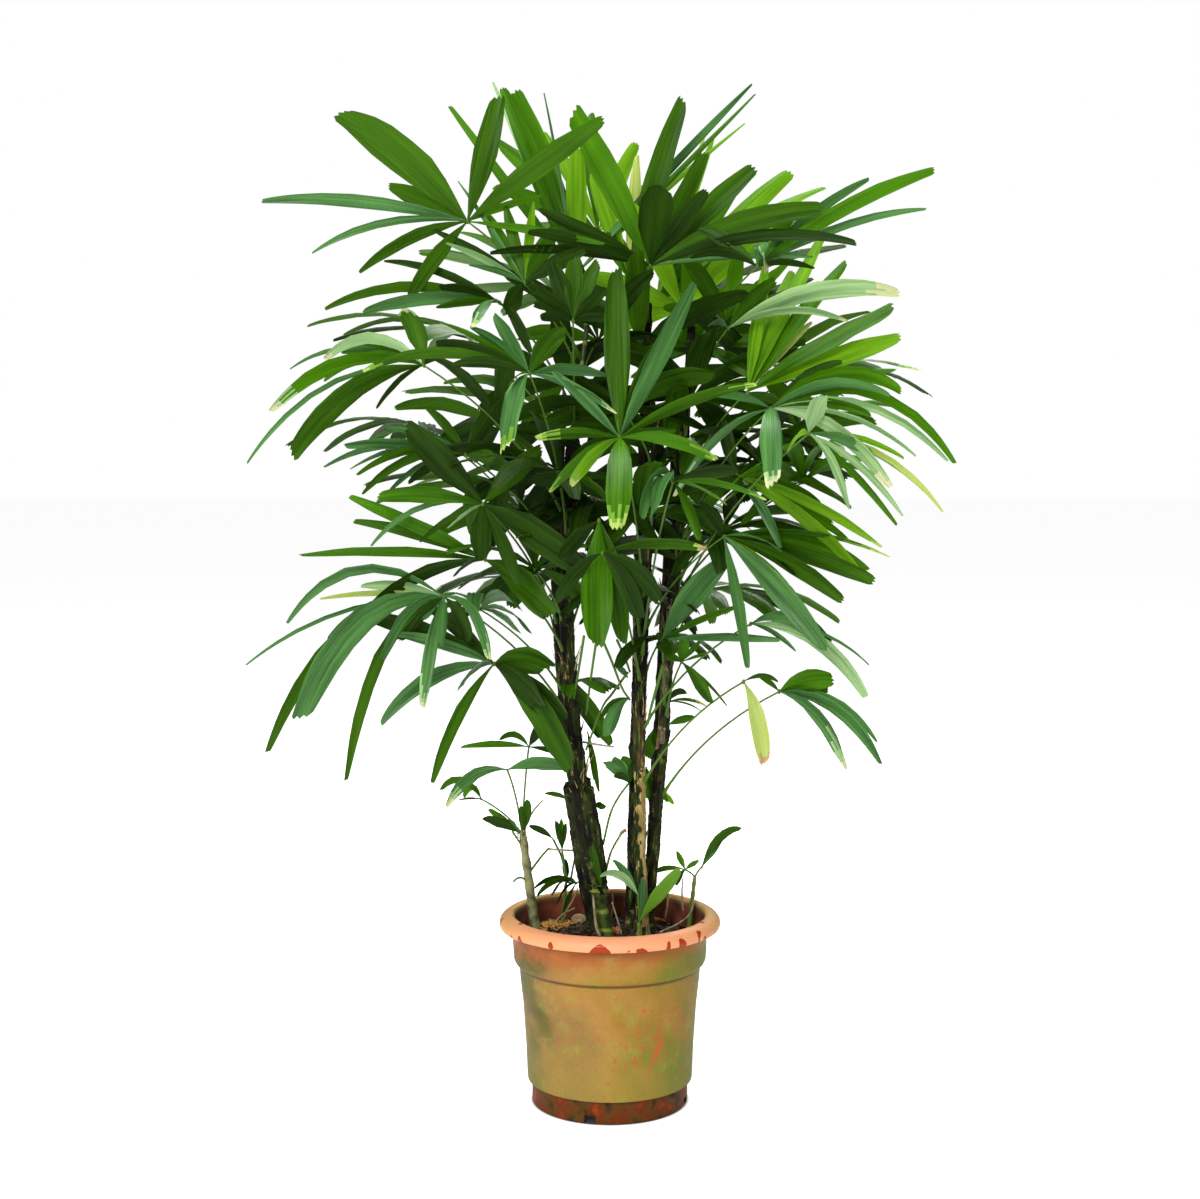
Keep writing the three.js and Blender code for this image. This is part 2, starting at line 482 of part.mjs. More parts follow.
// One leaflet as a thin blade with a keel. It leaves the hub at its own angle in the fan, tilts out of
// the fan's face by the cup angle, and bends down more and more towards its tip.
function makeLeaflet(row, seed, index, [swing, lift], shortening) {
  const { forward, right, up } = fanAxes(row.turn);
  const count = row.lengths.length;
  const [middle, spread] = row.fan;
  const evenAngle = middle + (index / (count - 1) - 0.5) * spread;
  const angle = (evenAngle + (noise(seed + 0.3) - 0.5) * ANGLE_PLAY * spread / count + swing) * DEGREE;
  const cup = (CUP + (noise(seed + 0.7) - 0.5) * CUP_PLAY + lift) * DEGREE;
  const length = row.blade[0] * row.lengths[index] * shortening;
  const width = row.blade[1] * row.widths[index];
  const droop = row.droop * (1 + DROOP_PLAY * (noise(seed + 0.2) - 0.5));
  const start = forward.clone().multiplyScalar(Math.cos(angle)).addScaledVector(right, Math.sin(angle));
  start.multiplyScalar(Math.cos(cup)).addScaledVector(up, Math.sin(cup));
  const flat = start.clone().cross(up).normalize();
  const twist = (noise(seed + 0.9) - 0.5) * TWIST_PLAY * DEGREE;
  const raised = flat.clone().cross(start).normalize();
  const side = flat.multiplyScalar(Math.cos(twist)).addScaledVector(raised, Math.sin(twist));
  const thickness = Math.max(THICKNESS_PER_LENGTH * length, LEAST_THICKNESS);
  const spacing = spread * DEGREE / (count - 1);
  const ringSteps = length < SHORT_LEAFLET ? SHORT_RING_STEPS : RING_STEPS;
  const hub = vector(row.hub);
  const point = hub.clone();
  const rings = [];
  for (let step = 0; step <= PATH_STEPS; step += 1) {
    const t = step / PATH_STEPS;
    const way = start.clone();
    way.z -= droop * t ** DROOP_POWER;
    way.normalize();
    if (ringSteps.includes(step)) {
      const across = side.clone().addScaledVector(way, -way.dot(side)).normalize();
      const under = way.clone().cross(across);
      const half = bladeWidth(width, t, t * length, spacing) / 2;
      rings.push([
        point.clone().addScaledVector(across, -half),
        point.clone().addScaledVector(across, half),
        point.clone().addScaledVector(under, thickness * (t === 1 ? TIP_SHARE : 1)),
      ]);
    }
    point.addScaledVector(way, length / PATH_STEPS);
  }
  const root = rings[0].map((corner) => hub.clone().lerp(corner, ROOT_SHARE));
  return toSolid(loft([root, ...rings]));
}

// The little block where the leaflets meet the petiole, square to its fan.
function makeKnob(row, reach) {
  const { forward, right, up } = fanAxes(row.turn);
  const block = new THREE.BoxGeometry(2 * reach, 2 * reach, 2 * reach * KNOB_FLATNESS);
  const stance = new THREE.Matrix4().makeBasis(forward, right.negate(), up).setPosition(...row.hub);
  return toSolid(block.applyMatrix4(stance));
}

// A three-sided rod along a curve that starts steeply upwards and bends over to its end.
function makeRod(from, to, radius, segments) {
  const knee = from.clone().lerp(to, KNEE_OUT);
  knee.z = from.z + (to.z - from.z) * KNEE_UP;
  const curve = new THREE.QuadraticBezierCurve3(from, knee, to);
  const rings = [];
  for (let segment = 0; segment <= segments; segment += 1) {
    const way = curve.getTangent(segment / segments);
    const across = Math.abs(way.z) > 0.9 ? vector([1, 0, 0]) : vector([0, 0, 1]);
    across.addScaledVector(way, -way.dot(across)).normalize();
    rings.push(circle(curve.getPoint(segment / segments), radius, 3, across, way.clone().cross(across)));
  }
  return toSolid(loft(rings));
}

// ---------------------------------------------------------------- fronds and suckers

// The petiole starts just off the cane, lower the further the hub stands out, and is turned or moved
// along the cane until it is clear of every other limb.
function placePetiole(row, owner) {
  const cane = CANES[row.cane];
  const hub = vector(row.hub);
  const height = cane.top[2] - SOIL_TOP;
  const middle = caneAxis(cane, (row.hub[2] - SOIL_TOP) / height);
  const reach = Math.hypot(hub.x - middle.x, hub.y - middle.y);
  const wanted = row.hub[2] - PETIOLE_RISE - PETIOLE_SLOPE * reach;
  for (const shift of PETIOLE_SHIFTS) {
    for (const swing of PETIOLE_SWINGS) {
      const share = (wanted + shift - SOIL_TOP) / height;
      const t = THREE.MathUtils.clamp(share, LEAST_SHARE_UP, GREATEST_SHARE_UP);
      const start = caneAxis(cane, t);
      const heading = Math.atan2(hub.y - start.y, hub.x - start.x) + swing * DEGREE;
      const clear = caneRadius(cane, t) * (1 + SHEATH_STEP / 2) + PETIOLE_RADIUS + 2 * GAP;
      start.x += clear * Math.cos(heading);
      start.y += clear * Math.sin(heading);
      const rod = makeRod(start, hub, PETIOLE_RADIUS, PETIOLE_SEGMENTS);
      if (isFree(rod, owner)) {
        place(rod, owner);
        return rod;
      }
    }
  }
  return null;
}

function placeLeaflets(row, number, owner) {
  const leaflets = [];
  for (let index = 0; index < row.lengths.length; index += 1) {
    const leaflet = findRoom(row, number * 17 + index, index, owner);
    if (leaflet) {
      place(leaflet, owner);
      leaflets.push(leaflet);
    }
  }
  return leaflets;
}

function findRoom(row, seed, index, owner) {
  for (const shortening of SHORTENINGS) {
    for (const swing of SWINGS) {
      const leaflet = makeLeaflet(row, seed, index, swing, shortening);
      if (isFree(leaflet, owner)) {
        return leaflet;
      }
    }
  }
  return null;
}

function makeSucker(sucker) {
  const foot = vector([...sucker.foot, SOIL_TOP + GAP]);
  const top = vector(sucker.top);
  const right = vector([1, 0, 0]);
  const back = vector([0, 1, 0]);
  const rings = [
    circle(foot, sucker.radius * STEM_FLARE, STEM_SIDES, right, back),
    circle(foot.clone().lerp(top, 0.12), sucker.radius, STEM_SIDES, right, back),
    circle(foot.clone().lerp(top, 0.6), (sucker.radius + sucker.tip) / 2, STEM_SIDES, right, back),
    circle(top, sucker.tip, STEM_SIDES, right, back),
  ];
  const solids = [toSolid(loft(rings))];
  sucker.fans.forEach((row, fan) => {
    const hub = vector(row.hub);
    if (hub.distanceTo(top) > 2 * sucker.tip) {
      const start = top.clone().setZ(top.z - sucker.tip);
      solids.push(makeRod(start, hub, SMALL_PETIOLE_RADIUS, PETIOLE_SEGMENTS));
    }
    solids.push(makeKnob(row, SMALL_KNOB_REACH));
    row.lengths.forEach((_, index) => {
      solids.push(makeLeaflet(row, SUCKER_SEED + 31 * fan + index, index, [0, 0], 1));
    });
  });
  return fuse(solids);
}

// ---------------------------------------------------------------- the plant

const palm = new THREE.Group();

function addNode(name, solid, colour, roughness) {
  const material = new THREE.MeshStandardMaterial({ color: colour, roughness, metalness: 0 });
  const mesh = new THREE.Mesh(toGeometry(solid), material);
  mesh.name = name;
  palm.add(mesh);
}

const pot = makePot();
place(pot, 'pot');
addNode('pot', pot, COLOURS.pot, 0.55);
addNode('soil', makeSoil(), COLOURS.soil, 0.95);

for (const [name, cane] of Object.entries(CANES)) {
  const solid = makeCane(cane);
  place(solid, `cane_${name}`);
  addNode(`cane_${name}`, solid, COLOURS.cane, 0.85);
}

for (const [name, sucker] of Object.entries(SUCKERS)) {
  const solid = makeSucker(sucker);
  place(solid, `sucker_${name}`);
  addNode(`sucker_${name}`, solid, COLOURS.sucker, 0.6);
}

const frondNames = FRONDS.map((_, number) => `frond_${String(number + 1).padStart(2, '0')}`);
const petioles = FRONDS.map((row, number) => placePetiole(row, frondNames[number]));

FRONDS.forEach((row, number) => {
  const owner = frondNames[number];
  const leaflets = placeLeaflets(row, number, owner);
  addNode(owner, fuse([makeKnob(row, KNOB_REACH), petioles[number], ...leaflets]), COLOURS.frond, 0.5);
});

export default palm;
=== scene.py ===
# A lady palm in its round plastic pot, as it was potted up: pot, soil, canes, fronds, suckers, and the
# odd shoots and dry stems at its foot. Lengths in the sections are in millimetres and angles in degrees;
# in the materials, the lights and the camera's box they are in metres and radians, as Blender has them.

import bmesh
import bpy
import numpy as np
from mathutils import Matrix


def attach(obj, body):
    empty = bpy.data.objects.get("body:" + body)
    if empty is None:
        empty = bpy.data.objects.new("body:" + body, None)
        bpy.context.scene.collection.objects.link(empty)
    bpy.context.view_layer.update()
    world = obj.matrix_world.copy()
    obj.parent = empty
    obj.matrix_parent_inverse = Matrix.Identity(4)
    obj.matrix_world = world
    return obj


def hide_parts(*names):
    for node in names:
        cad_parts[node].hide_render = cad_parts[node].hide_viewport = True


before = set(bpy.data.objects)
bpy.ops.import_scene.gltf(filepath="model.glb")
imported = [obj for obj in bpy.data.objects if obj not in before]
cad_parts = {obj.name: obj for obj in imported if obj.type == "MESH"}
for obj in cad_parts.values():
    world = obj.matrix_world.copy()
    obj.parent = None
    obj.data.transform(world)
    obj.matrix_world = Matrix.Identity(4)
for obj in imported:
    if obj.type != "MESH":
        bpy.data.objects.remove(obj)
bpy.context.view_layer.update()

MM = 0.001


# ---------------------------------------------------------------- pot
# A nursery pot with a rolled collar for a rim, a raised band under it and a narrower foot with four
# drain notches. It is injection moulded in terracotta-coloured polypropylene, bleached on the rim, and
# has stood outdoors long enough to carry a film of dust and algae, mud on its foot and wet splashes.

def linear(code, alpha=1.0):
    """An sRGB hex code as linear colour: a channel c becomes c / 12.92 or ((c + 0.055) / 1.055) ** 2.4."""
    channels = [int(code[i:i + 2], 16) / 255 for i in (1, 3, 5)]
    return [c / 12.92 if c <= 0.04045 else ((c + 0.055) / 1.055) ** 2.4 for c in channels] + [alpha]


def add(tree, kind, links=None, stops=None, **settings):
    """Adds a shader node with its settings; links gives inputs by name or number, as a value or as the
    output that feeds them, and stops gives a ramp's positions and colours. A Mix node mixes values by
    inputs 2 and 3 to output 0, and colours by inputs 6 and 7 to output 2."""
    node = tree.nodes.new("ShaderNode" + kind)
    for name, value in settings.items():
        setattr(node, name, value)
    for name, value in (links or {}).items():
        if isinstance(value, bpy.types.NodeSocket):
            tree.links.new(value, node.inputs[name])
        else:
            node.inputs[name].default_value = value
    if stops:
        elements = node.color_ramp.elements
        while len(elements) < len(stops):
            elements.new(0.5)
        for element, (position, colour) in zip(elements, stops):
            element.position = position
            element.color = colour
    return node


def new_finish(name):
    """An empty material, its node tree, its Principled shader and its output."""
    material = bpy.data.materials.new(name)
    material.use_nodes = True
    tree = material.node_tree
    tree.nodes.clear()
    output = add(tree, "OutputMaterial")
    shader = add(tree, "BsdfPrincipled")
    tree.links.new(shader.outputs["BSDF"], output.inputs["Surface"])
    return material, tree, shader, output


def grid_faces(rows, columns, copies=1):
    """The four corners of each cell of a grid of rows by columns points, for that many grids in a row."""
    index = np.arange(rows * columns).reshape(rows, columns)
    cells = np.stack([index[:-1, :-1], index[:-1, 1:], index[1:, 1:], index[1:, :-1]], -1).reshape(-1, 4)
    return (np.arange(copies)[:, None, None] * rows * columns + cells).reshape(-1, 4)


def put_piece(name, points, faces, finishes, finish_of=None, uv=None, slot=None, stands_for=(), weld=True):
    """A piece from points in millimetres and faces of four corners. Points that fall together are
    merged, which closes seams and poles. uv is in millimetres along the surface."""
    mesh = bpy.data.meshes.new(name)
    mesh.vertices.add(len(points))
    mesh.vertices.foreach_set("co", (np.asarray(points) * MM).astype(np.float32).ravel())
    mesh.loops.add(faces.size)
    mesh.loops.foreach_set("vertex_index", faces.astype(np.int32).ravel())
    mesh.polygons.add(len(faces))
    mesh.polygons.foreach_set("loop_start", np.arange(0, faces.size, 4, dtype=np.int32))
    mesh.polygons.foreach_set("use_smooth", np.ones(len(faces), bool))
    if finish_of is not None:
        mesh.polygons.foreach_set("material_index", np.asarray(finish_of, np.int32))
    if uv is not None:
        layer = mesh.uv_layers.new(name="Grain")
        layer.data.foreach_set("uv", (np.asarray(uv)[faces.ravel()] * MM).astype(np.float32).ravel())
    for finish in finishes:
        mesh.materials.append(finish)
    mesh.update(calc_edges=True)
    if weld:
        shell = bmesh.new()
        shell.from_mesh(mesh)
        bmesh.ops.remove_doubles(shell, verts=shell.verts, dist=1e-6)
        shell.to_mesh(mesh)
        shell.free()
    mesh.validate()
    piece = bpy.data.objects.new(name, mesh)
    bpy.context.scene.collection.objects.link(piece)
    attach(piece, "root")
    if stands_for:
        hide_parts(*stands_for)
    return piece


def rounded(outline, radius, steps=5):
    """An open outline with each corner bent: a quadratic curve that starts and ends radius away from
    the corner, or halfway along a shorter side."""
    before, corner, after = outline[:-2], outline[1:-1], outline[2:]
    ends = []
    for far in (before, after):
        side = far - corner
        length = np.linalg.norm(side, axis=1, keepdims=True)
        ends.append(corner + side * np.minimum(radius / length, 0.49))
    t = np.linspace(0, 1, steps)[:, None, None]
    curve = (1 - t) ** 2 * ends[0] + 2 * t * (1 - t) * corner + t ** 2 * ends[1]
    return np.vstack([outline[:1], curve.transpose(1, 0, 2).reshape(-1, 2), outline[-1:]])


def revolved(outline, turns):
    """Points of an outline of radius and height carried round Z; the last column repeats the first."""
    angle = np.linspace(0, 2 * np.pi, turns + 1)
    radius, height = outline[:, :1], outline[:, 1:]
    return np.stack([radius * np.cos(angle), radius * np.sin(angle), height + 0 * angle], -1)


RIM_RADIUS, RIM_CREST_RADIUS, RIM_UNDERSIDE, RIM_LIP, RIM_TOP = 143.0, 127.0, 229.0, 234.0, 246.0
BAND_FOOT, FLOOR_THICKNESS, FOOT_HEIGHT = 183.0, 12.0, 29.0
NOTCHES, NOTCH_WIDTH, NOTCH_HEIGHT, FIRST_NOTCH = 4, 15.0, 10.0, -104.6
NOTCH_FROM, NOTCH_TO = 84.0, 116.0
POT_TURNS = 144

# Radius and height from the middle of the underside outwards and up: pad, channel, foot, wall and band.
outer_wall = [[0, 0], [70, 0], [74, 6], [88, 6], [92, 0], [100.7, 0], [100.7, FOOT_HEIGHT - 1],
              [102.5, FOOT_HEIGHT + 0.5], [106.2, FOOT_HEIGHT + 0.5], [106.8, 32], [108.6, 76], [112.2, 129],
              [116.2, 165], [117.0, 176], [118.0, BAND_FOOT - 3], [122.0, BAND_FOOT], [124.4, 188],
              [125.2, 204], [126, RIM_UNDERSIDE]]
collar_angle = np.radians(np.arange(-24, 91, 6.0))
collar = np.stack([RIM_CREST_RADIUS + (RIM_RADIUS - RIM_CREST_RADIUS) * np.cos(collar_angle),
                   RIM_LIP + (RIM_TOP - RIM_LIP) * np.sin(collar_angle)], -1)
inner_wall = [[123.0, 241.5], [123.0, 229.0], [122.0, 190.0], [118.0, 180.0], [114.0, 169.0], [109.2, 129.0],
              [105.6, 76.0], [103.6, 34.0], [97.7, 32.0], [97.7, FLOOR_THICKNESS], [0, FLOOR_THICKNESS]]
outside = np.vstack([rounded(np.array(outer_wall, float), 1.6), collar, [[124.6, 245.2], [123.4, 243.6]]])
pot_outline = np.vstack([outside, rounded(np.array(inner_wall, float), 2.5)])
pot_points = revolved(pot_outline, POT_TURNS)
pot_faces = grid_faces(*pot_points.shape[:2])
within_pot = np.repeat(np.arange(len(pot_outline) - 1) >= len(outside), POT_TURNS)


def weathered_polypropylene():
    """Moulded polypropylene under a dull film: ochre dust and green algae in soft clouds, terracotta
    showing where the rim sheds water and in scratches, a bleached rim with wet splashes, and mud on
    the foot. The film dulls the plastic's own gloss to a third."""
    material, tree, shader, _ = new_finish("weathered_polypropylene")
    place = add(tree, "TexCoord").outputs["Object"]
    parts = add(tree, "SeparateXYZ", {"Vector": place}).outputs
    groove_height, rim_height = (BAND_FOOT - 3) * MM, RIM_UNDERSIDE * MM
    step_height = (FOOT_HEIGHT + 0.5) * MM

    # Clouds of film about 90 mm wide, patches of 30 mm, and a fine grain of 1.5 mm in them.
    clouds = add(tree, "TexNoise", {"Vector": place, "Scale": 11.0, "Detail": 5.0, "Roughness": 0.55})
    patches = add(tree, "TexNoise", {"Vector": place, "Scale": 34.0, "Detail": 6.0, "Roughness": 0.68})
    grain = add(tree, "TexNoise", {"Vector": place, "Scale": 650.0, "Detail": 3.0, "Roughness": 0.7})
    sideways = add(tree, "Math", {0: parts["X"], 1: 3.0, 2: clouds.outputs["Fac"]},
                   operation="MULTIPLY_ADD")
    film = add(tree, "ValToRGB", {"Fac": sideways.outputs["Value"]}, stops=[
        (0.14, linear("#585420")), (0.28, linear("#866638")), (0.50, linear("#a0763a")),
        (0.66, linear("#92702a")), (0.86, linear("#626e20"))])
    lower = add(tree, "MapRange", {"Value": parts["Z"], "From Min": 0.13, "From Max": 0.035,
                                   "To Max": 0.45})
    greener = add(tree, "Mix", {0: lower.outputs["Result"], 6: film.outputs["Color"], 7: linear("#93883a")},
                  data_type="RGBA")
    algae = add(tree, "MapRange", {"Value": patches.outputs["Fac"], "From Min": 0.53, "From Max": 0.68,
                                   "To Max": 0.55})
    mossy = add(tree, "Mix", {0: algae.outputs["Result"], 6: greener.outputs[2], 7: linear("#87903a")},
                data_type="RGBA")
    speckled = add(tree, "Mix", {0: 0.75, 6: mossy.outputs[2], 7: grain.outputs["Color"]}, data_type="RGBA",
                   blend_type="SOFT_LIGHT")

    # Terracotta shows in a soft uneven border below the rim, widest on the left.
    height = add(tree, "MapRange", {"Value": parts["Z"], "From Min": 0.186, "From Max": rim_height})
    leftward = add(tree, "Math", {0: parts["X"], 1: -1.5, 2: height.outputs["Result"]},
                   operation="MULTIPLY_ADD")
    uneven = add(tree, "Math", {0: patches.outputs["Fac"], 1: 2.0, 2: leftward.outputs["Value"]},
                 operation="MULTIPLY_ADD")
    bare = add(tree, "MapRange", {"Value": uneven.outputs["Value"], "From Min": 1.2, "From Max": 1.9,
                                  "To Max": 0.9}, interpolation_type="SMOOTHSTEP")
    on_band = add(tree, "MapRange", {"Value": parts["Z"], "From Min": 0.150, "From Max": 0.192})
    border = add(tree, "Math", {0: bare.outputs["Result"], 1: on_band.outputs["Result"]},
                 operation="MULTIPLY")
    clay = add(tree, "ValToRGB", {"Fac": patches.outputs["Fac"]}, stops=[
        (0.35, linear("#8a421c")), (0.65, linear("#a25a2a"))])
    bordered = add(tree, "Mix", {0: border.outputs["Value"], 6: speckled.outputs[2],
                                 7: clay.outputs["Color"]}, data_type="RGBA")

    # Scuffs: specks of 2 to 6 mm low on the right of the front, and one long slanting scrape beside them.
    spot_place = add(tree, "Mapping", {"Vector": place, "Rotation": (0.0, 0.7, 0.0),
                                       "Scale": (170.0, 90.0, 70.0)})
    spots = add(tree, "TexNoise", {"Vector": spot_place.outputs["Vector"], "Scale": 1.0, "Detail": 3.0,
                                   "Roughness": 0.6})
    spot_area = add(tree, "Mapping", {"Vector": place, "Location": (0.045, -0.105, 0.108),
                                      "Scale": (0.06, 0.1, 0.05)}, vector_type="TEXTURE")
    spot_distance = add(tree, "VectorMath", {0: spot_area.outputs["Vector"]}, operation="LENGTH")
    spot_near = add(tree, "MapRange", {"Value": spot_distance.outputs["Value"], "From Min": 0.2,
                                       "From Max": 1.7, "To Min": 0.085, "To Max": -0.035})
    spot_value = add(tree, "Math", {0: spots.outputs["Fac"], 1: spot_near.outputs["Result"]},
                     operation="ADD")
    spot_mask = add(tree, "MapRange", {"Value": spot_value.outputs["Value"], "From Min": 0.655,
                                       "From Max": 0.69, "To Max": 0.8})
    scrape_place = add(tree, "Mapping", {"Vector": place, "Location": (0.060, -0.105, 0.094),
                                         "Rotation": (0.0, 0.37, 0.0), "Scale": (0.005, 0.06, 0.042)},
                       vector_type="TEXTURE")
    scrape_distance = add(tree, "VectorMath", {0: scrape_place.outputs["Vector"]}, operation="LENGTH")
    frayed = add(tree, "Math", {0: patches.outputs["Fac"], 1: 2.4, 2: scrape_distance.outputs["Value"]},
                 operation="MULTIPLY_ADD")
    scrape_mask = add(tree, "MapRange", {"Value": frayed.outputs["Value"], "From Min": 2.1, "From Max": 1.6,
                                         "To Max": 0.7})
    scuffs = add(tree, "Math", {0: spot_mask.outputs["Result"], 1: scrape_mask.outputs["Result"]},
                 operation="MAXIMUM")
    scratched = add(tree, "Mix", {0: scuffs.outputs["Value"], 6: bordered.outputs[2], 7: linear("#b8522c")},
                    data_type="RGBA")

    # Dirt and painted shade darken the groove under the band, and painted shade darkens the wall just under
    # the rim's overhang.
    groove = add(tree, "MapRange", {"Value": parts["Z"], "From Min": groove_height - 0.0035,
                                    "From Max": groove_height - 0.0005}, interpolation_type="SMOOTHSTEP")
    over_groove = add(tree, "MapRange", {"Value": parts["Z"], "From Min": groove_height + 0.0035,
                                         "From Max": groove_height + 0.0005, "To Max": 0.85})
    groove_dirt_and_shade = add(tree, "Math", {0: groove.outputs["Result"], 1: over_groove.outputs["Result"]},
               operation="MULTIPLY")
    # Painted shade: the wall darkens up to the underside of the rim.
    painted_rim_shade = add(tree, "MapRange", {"Value": parts["Z"], "From Min": rim_height - 0.007,
                                       "From Max": rim_height - 0.0002, "To Max": 0.75},
                    interpolation_type="SMOOTHSTEP")
    grime_and_painted_shade = add(tree, "Math", {0: groove_dirt_and_shade.outputs["Value"], 1: painted_rim_shade.outputs["Result"]},
                operation="MAXIMUM")
    grooved = add(tree, "Mix", {0: grime_and_painted_shade.outputs["Value"], 6: scratched.outputs[2], 7: linear("#4a3a18")},
                  data_type="RGBA")

    # The foot is caked with mud, from nearly black through brown to red.
    mud_clouds = add(tree, "TexNoise", {"Vector": place, "Scale": 42.0, "Detail": 5.0})
    mud = add(tree, "ValToRGB", {"Fac": mud_clouds.outputs["Fac"]}, stops=[
        (0.34, linear("#281806")), (0.46, linear("#5a3a0e")), (0.56, linear("#682a08")),
        (0.70, linear("#96400c"))])
    foot = add(tree, "MapRange", {"Value": parts["Z"], "From Min": step_height + 0.001,
                                  "From Max": step_height - 0.001})
    footed = add(tree, "Mix", {0: foot.outputs["Result"], 6: grooved.outputs[2], 7: mud.outputs["Color"]},
                 data_type="RGBA")

    # The rim is bleached to peach in front, olive with algae at its sides and back.
    outward = add(tree, "Math", {0: parts["X"], 1: 0.0}, operation="ABSOLUTE")
    backward = add(tree, "Math", {0: parts["Y"], 1: 0.62, 2: outward.outputs["Value"]},
                   operation="MULTIPLY_ADD")
    rim_tint = add(tree, "Math", {0: clouds.outputs["Fac"], 1: 0.1, 2: backward.outputs["Value"]},
                   operation="MULTIPLY_ADD")
    peach = add(tree, "ValToRGB", {"Fac": rim_tint.outputs["Value"]}, stops=[
        (0.0, linear("#ea9a70")), (0.09, linear("#e0986a")), (0.17, linear("#cc965a")),
        (0.23, linear("#948848"))])
    splash_place = add(tree, "Mapping", {"Vector": place, "Scale": (1.0, 1.0, 0.6)})
    splashes = add(tree, "TexNoise", {"Vector": splash_place.outputs["Vector"], "Scale": 66.0,
                                      "Detail": 0.6, "Roughness": 0.3})
    low_rim = add(tree, "MapRange", {"Value": parts["Z"], "From Min": 0.2445, "From Max": 0.2315,
                                     "To Min": -0.12, "To Max": 0.075})
    splash = add(tree, "Math", {0: splashes.outputs["Fac"], 1: low_rim.outputs["Result"]}, operation="ADD")
    splash_mask = add(tree, "MapRange", {"Value": splash.outputs["Value"], "From Min": 0.60,
                                         "From Max": 0.612})
    rim = add(tree, "Mix", {0: splash_mask.outputs["Result"], 6: peach.outputs["Color"],
                            7: linear("#9c3408")}, data_type="RGBA")
    rim_speckled = add(tree, "Mix", {0: 0.3, 6: rim.outputs[2], 7: grain.outputs["Color"]},
                       data_type="RGBA", blend_type="SOFT_LIGHT")
    is_rim = add(tree, "MapRange", {"Value": parts["Z"], "From Min": rim_height,
                                    "From Max": rim_height + 0.0002})
    rimmed = add(tree, "Mix", {0: is_rim.outputs["Result"], 6: footed.outputs[2],
                               7: rim_speckled.outputs[2]}, data_type="RGBA")
    tree.links.new(rimmed.outputs[2], shader.inputs["Base Color"])

    # Dull film, smoother on the rim and smoothest where it is wet.
    wetness = add(tree, "MapRange", {"Value": splash_mask.outputs["Result"], "To Min": 0.45, "To Max": 0.2})
    dull = add(tree, "MapRange", {"Value": grain.outputs["Fac"], "To Min": 0.42, "To Max": 0.7})
    roughness = add(tree, "Mix", {0: is_rim.outputs["Result"], 2: dull.outputs["Result"],
                                  3: wetness.outputs["Result"]})
    tree.links.new(roughness.outputs[0], shader.inputs["Roughness"])
    bump = add(tree, "Bump", {"Height": grain.outputs["Fac"], "Strength": 0.12, "Distance": 0.0005})
    tree.links.new(bump.outputs["Normal"], shader.inputs["Normal"])
    shader.inputs["Specular IOR Level"].default_value = 0.15
    return material


def stained_polypropylene():
    """The inner wall above the soil: the same plastic, stained red-brown by splashed soil and paler in
    a narrow olive border under the rim."""
    material, tree, shader, _ = new_finish("stained_polypropylene")
    place = add(tree, "TexCoord").outputs["Object"]
    parts = add(tree, "SeparateXYZ", {"Vector": place}).outputs
    clouds = add(tree, "TexNoise", {"Vector": place, "Scale": 42.0, "Detail": 5.0})
    colour = add(tree, "ValToRGB", {"Fac": clouds.outputs["Fac"]}, stops=[
        (0.3, linear("#3a1c10")), (0.6, linear("#7d3d24")), (0.8, linear("#985234"))])
    height = add(tree, "MapRange", {"Value": parts["Z"], "From Min": 0.236, "From Max": 0.242})
    topped = add(tree, "Mix", {0: height.outputs["Result"], 6: colour.outputs["Color"],
                               7: linear("#7d7440")}, data_type="RGBA")
    tree.links.new(topped.outputs[2], shader.inputs["Base Color"])
    shader.inputs["Roughness"].default_value = 0.7
    shader.inputs["IOR"].default_value = 1.49
    return material


pot = put_piece("pot_shell", pot_points.reshape(-1, 3), pot_faces,
                [weathered_polypropylene(), stained_polypropylene()], finish_of=within_pot.astype(int),
                slot="pot", stands_for=["pot"])


def about_z(points, angle):
    """Points turned about Z by an angle a in radians, to x cos a - y sin a and x sin a + y cos a."""
    x, y, z = np.moveaxis(points, -1, 0)
    return np.stack([x * np.cos(angle) - y * np.sin(angle), x * np.sin(angle) + y * np.cos(angle),
                     z + 0 * angle], -1)


# The notches are cut through the foot from outside and from below, as the mould's slides leave them.
notch_corner = np.array([[x, y, z] for x in (NOTCH_FROM, NOTCH_TO)
                         for y in (-NOTCH_WIDTH / 2, NOTCH_WIDTH / 2) for z in (-9, NOTCH_HEIGHT)])
notch_turn = np.radians(FIRST_NOTCH + np.arange(NOTCHES) * 360 / NOTCHES)[:, None]
notch_points = about_z(notch_corner, notch_turn)
BLOCK_FACES = np.array([[0, 1, 3, 2], [4, 6, 7, 5], [0, 4, 5, 1], [2, 3, 7, 6], [0, 2, 6, 4], [1, 5, 7, 3]])
notch_faces = (np.arange(NOTCHES)[:, None, None] * 8 + BLOCK_FACES).reshape(-1, 4)
cutter = put_piece("notch_cutter", notch_points.reshape(-1, 3), notch_faces, [])
cut = pot.modifiers.new("drain_notches", "BOOLEAN")
cut.operation = "DIFFERENCE"
cut.solver = "EXACT"
cut.object = cutter
notched = bpy.data.meshes.new_from_object(pot.evaluated_get(bpy.context.evaluated_depsgraph_get()))
pot.modifiers.clear()
pot.data = notched
bpy.data.objects.remove(cutter)


# ---------------------------------------------------------------- soil
# Dark moist potting soil with bark chips, filled to 34 mm under the top of the rim. It heaves gently
# round the canes, and coco husk, a few clay crumbs and one pale stone lie on it.

SOIL_TOP, SOIL_EDGE_DROP, SOIL_GAP = 212.0, 4.0, 0.3
LEVEL_RADIUS, SLOPE_WIDTH, LITTER_RADIUS = 96.0, 24.0, 112.0
SOIL_RINGS, SOIL_TURNS = 56, 180


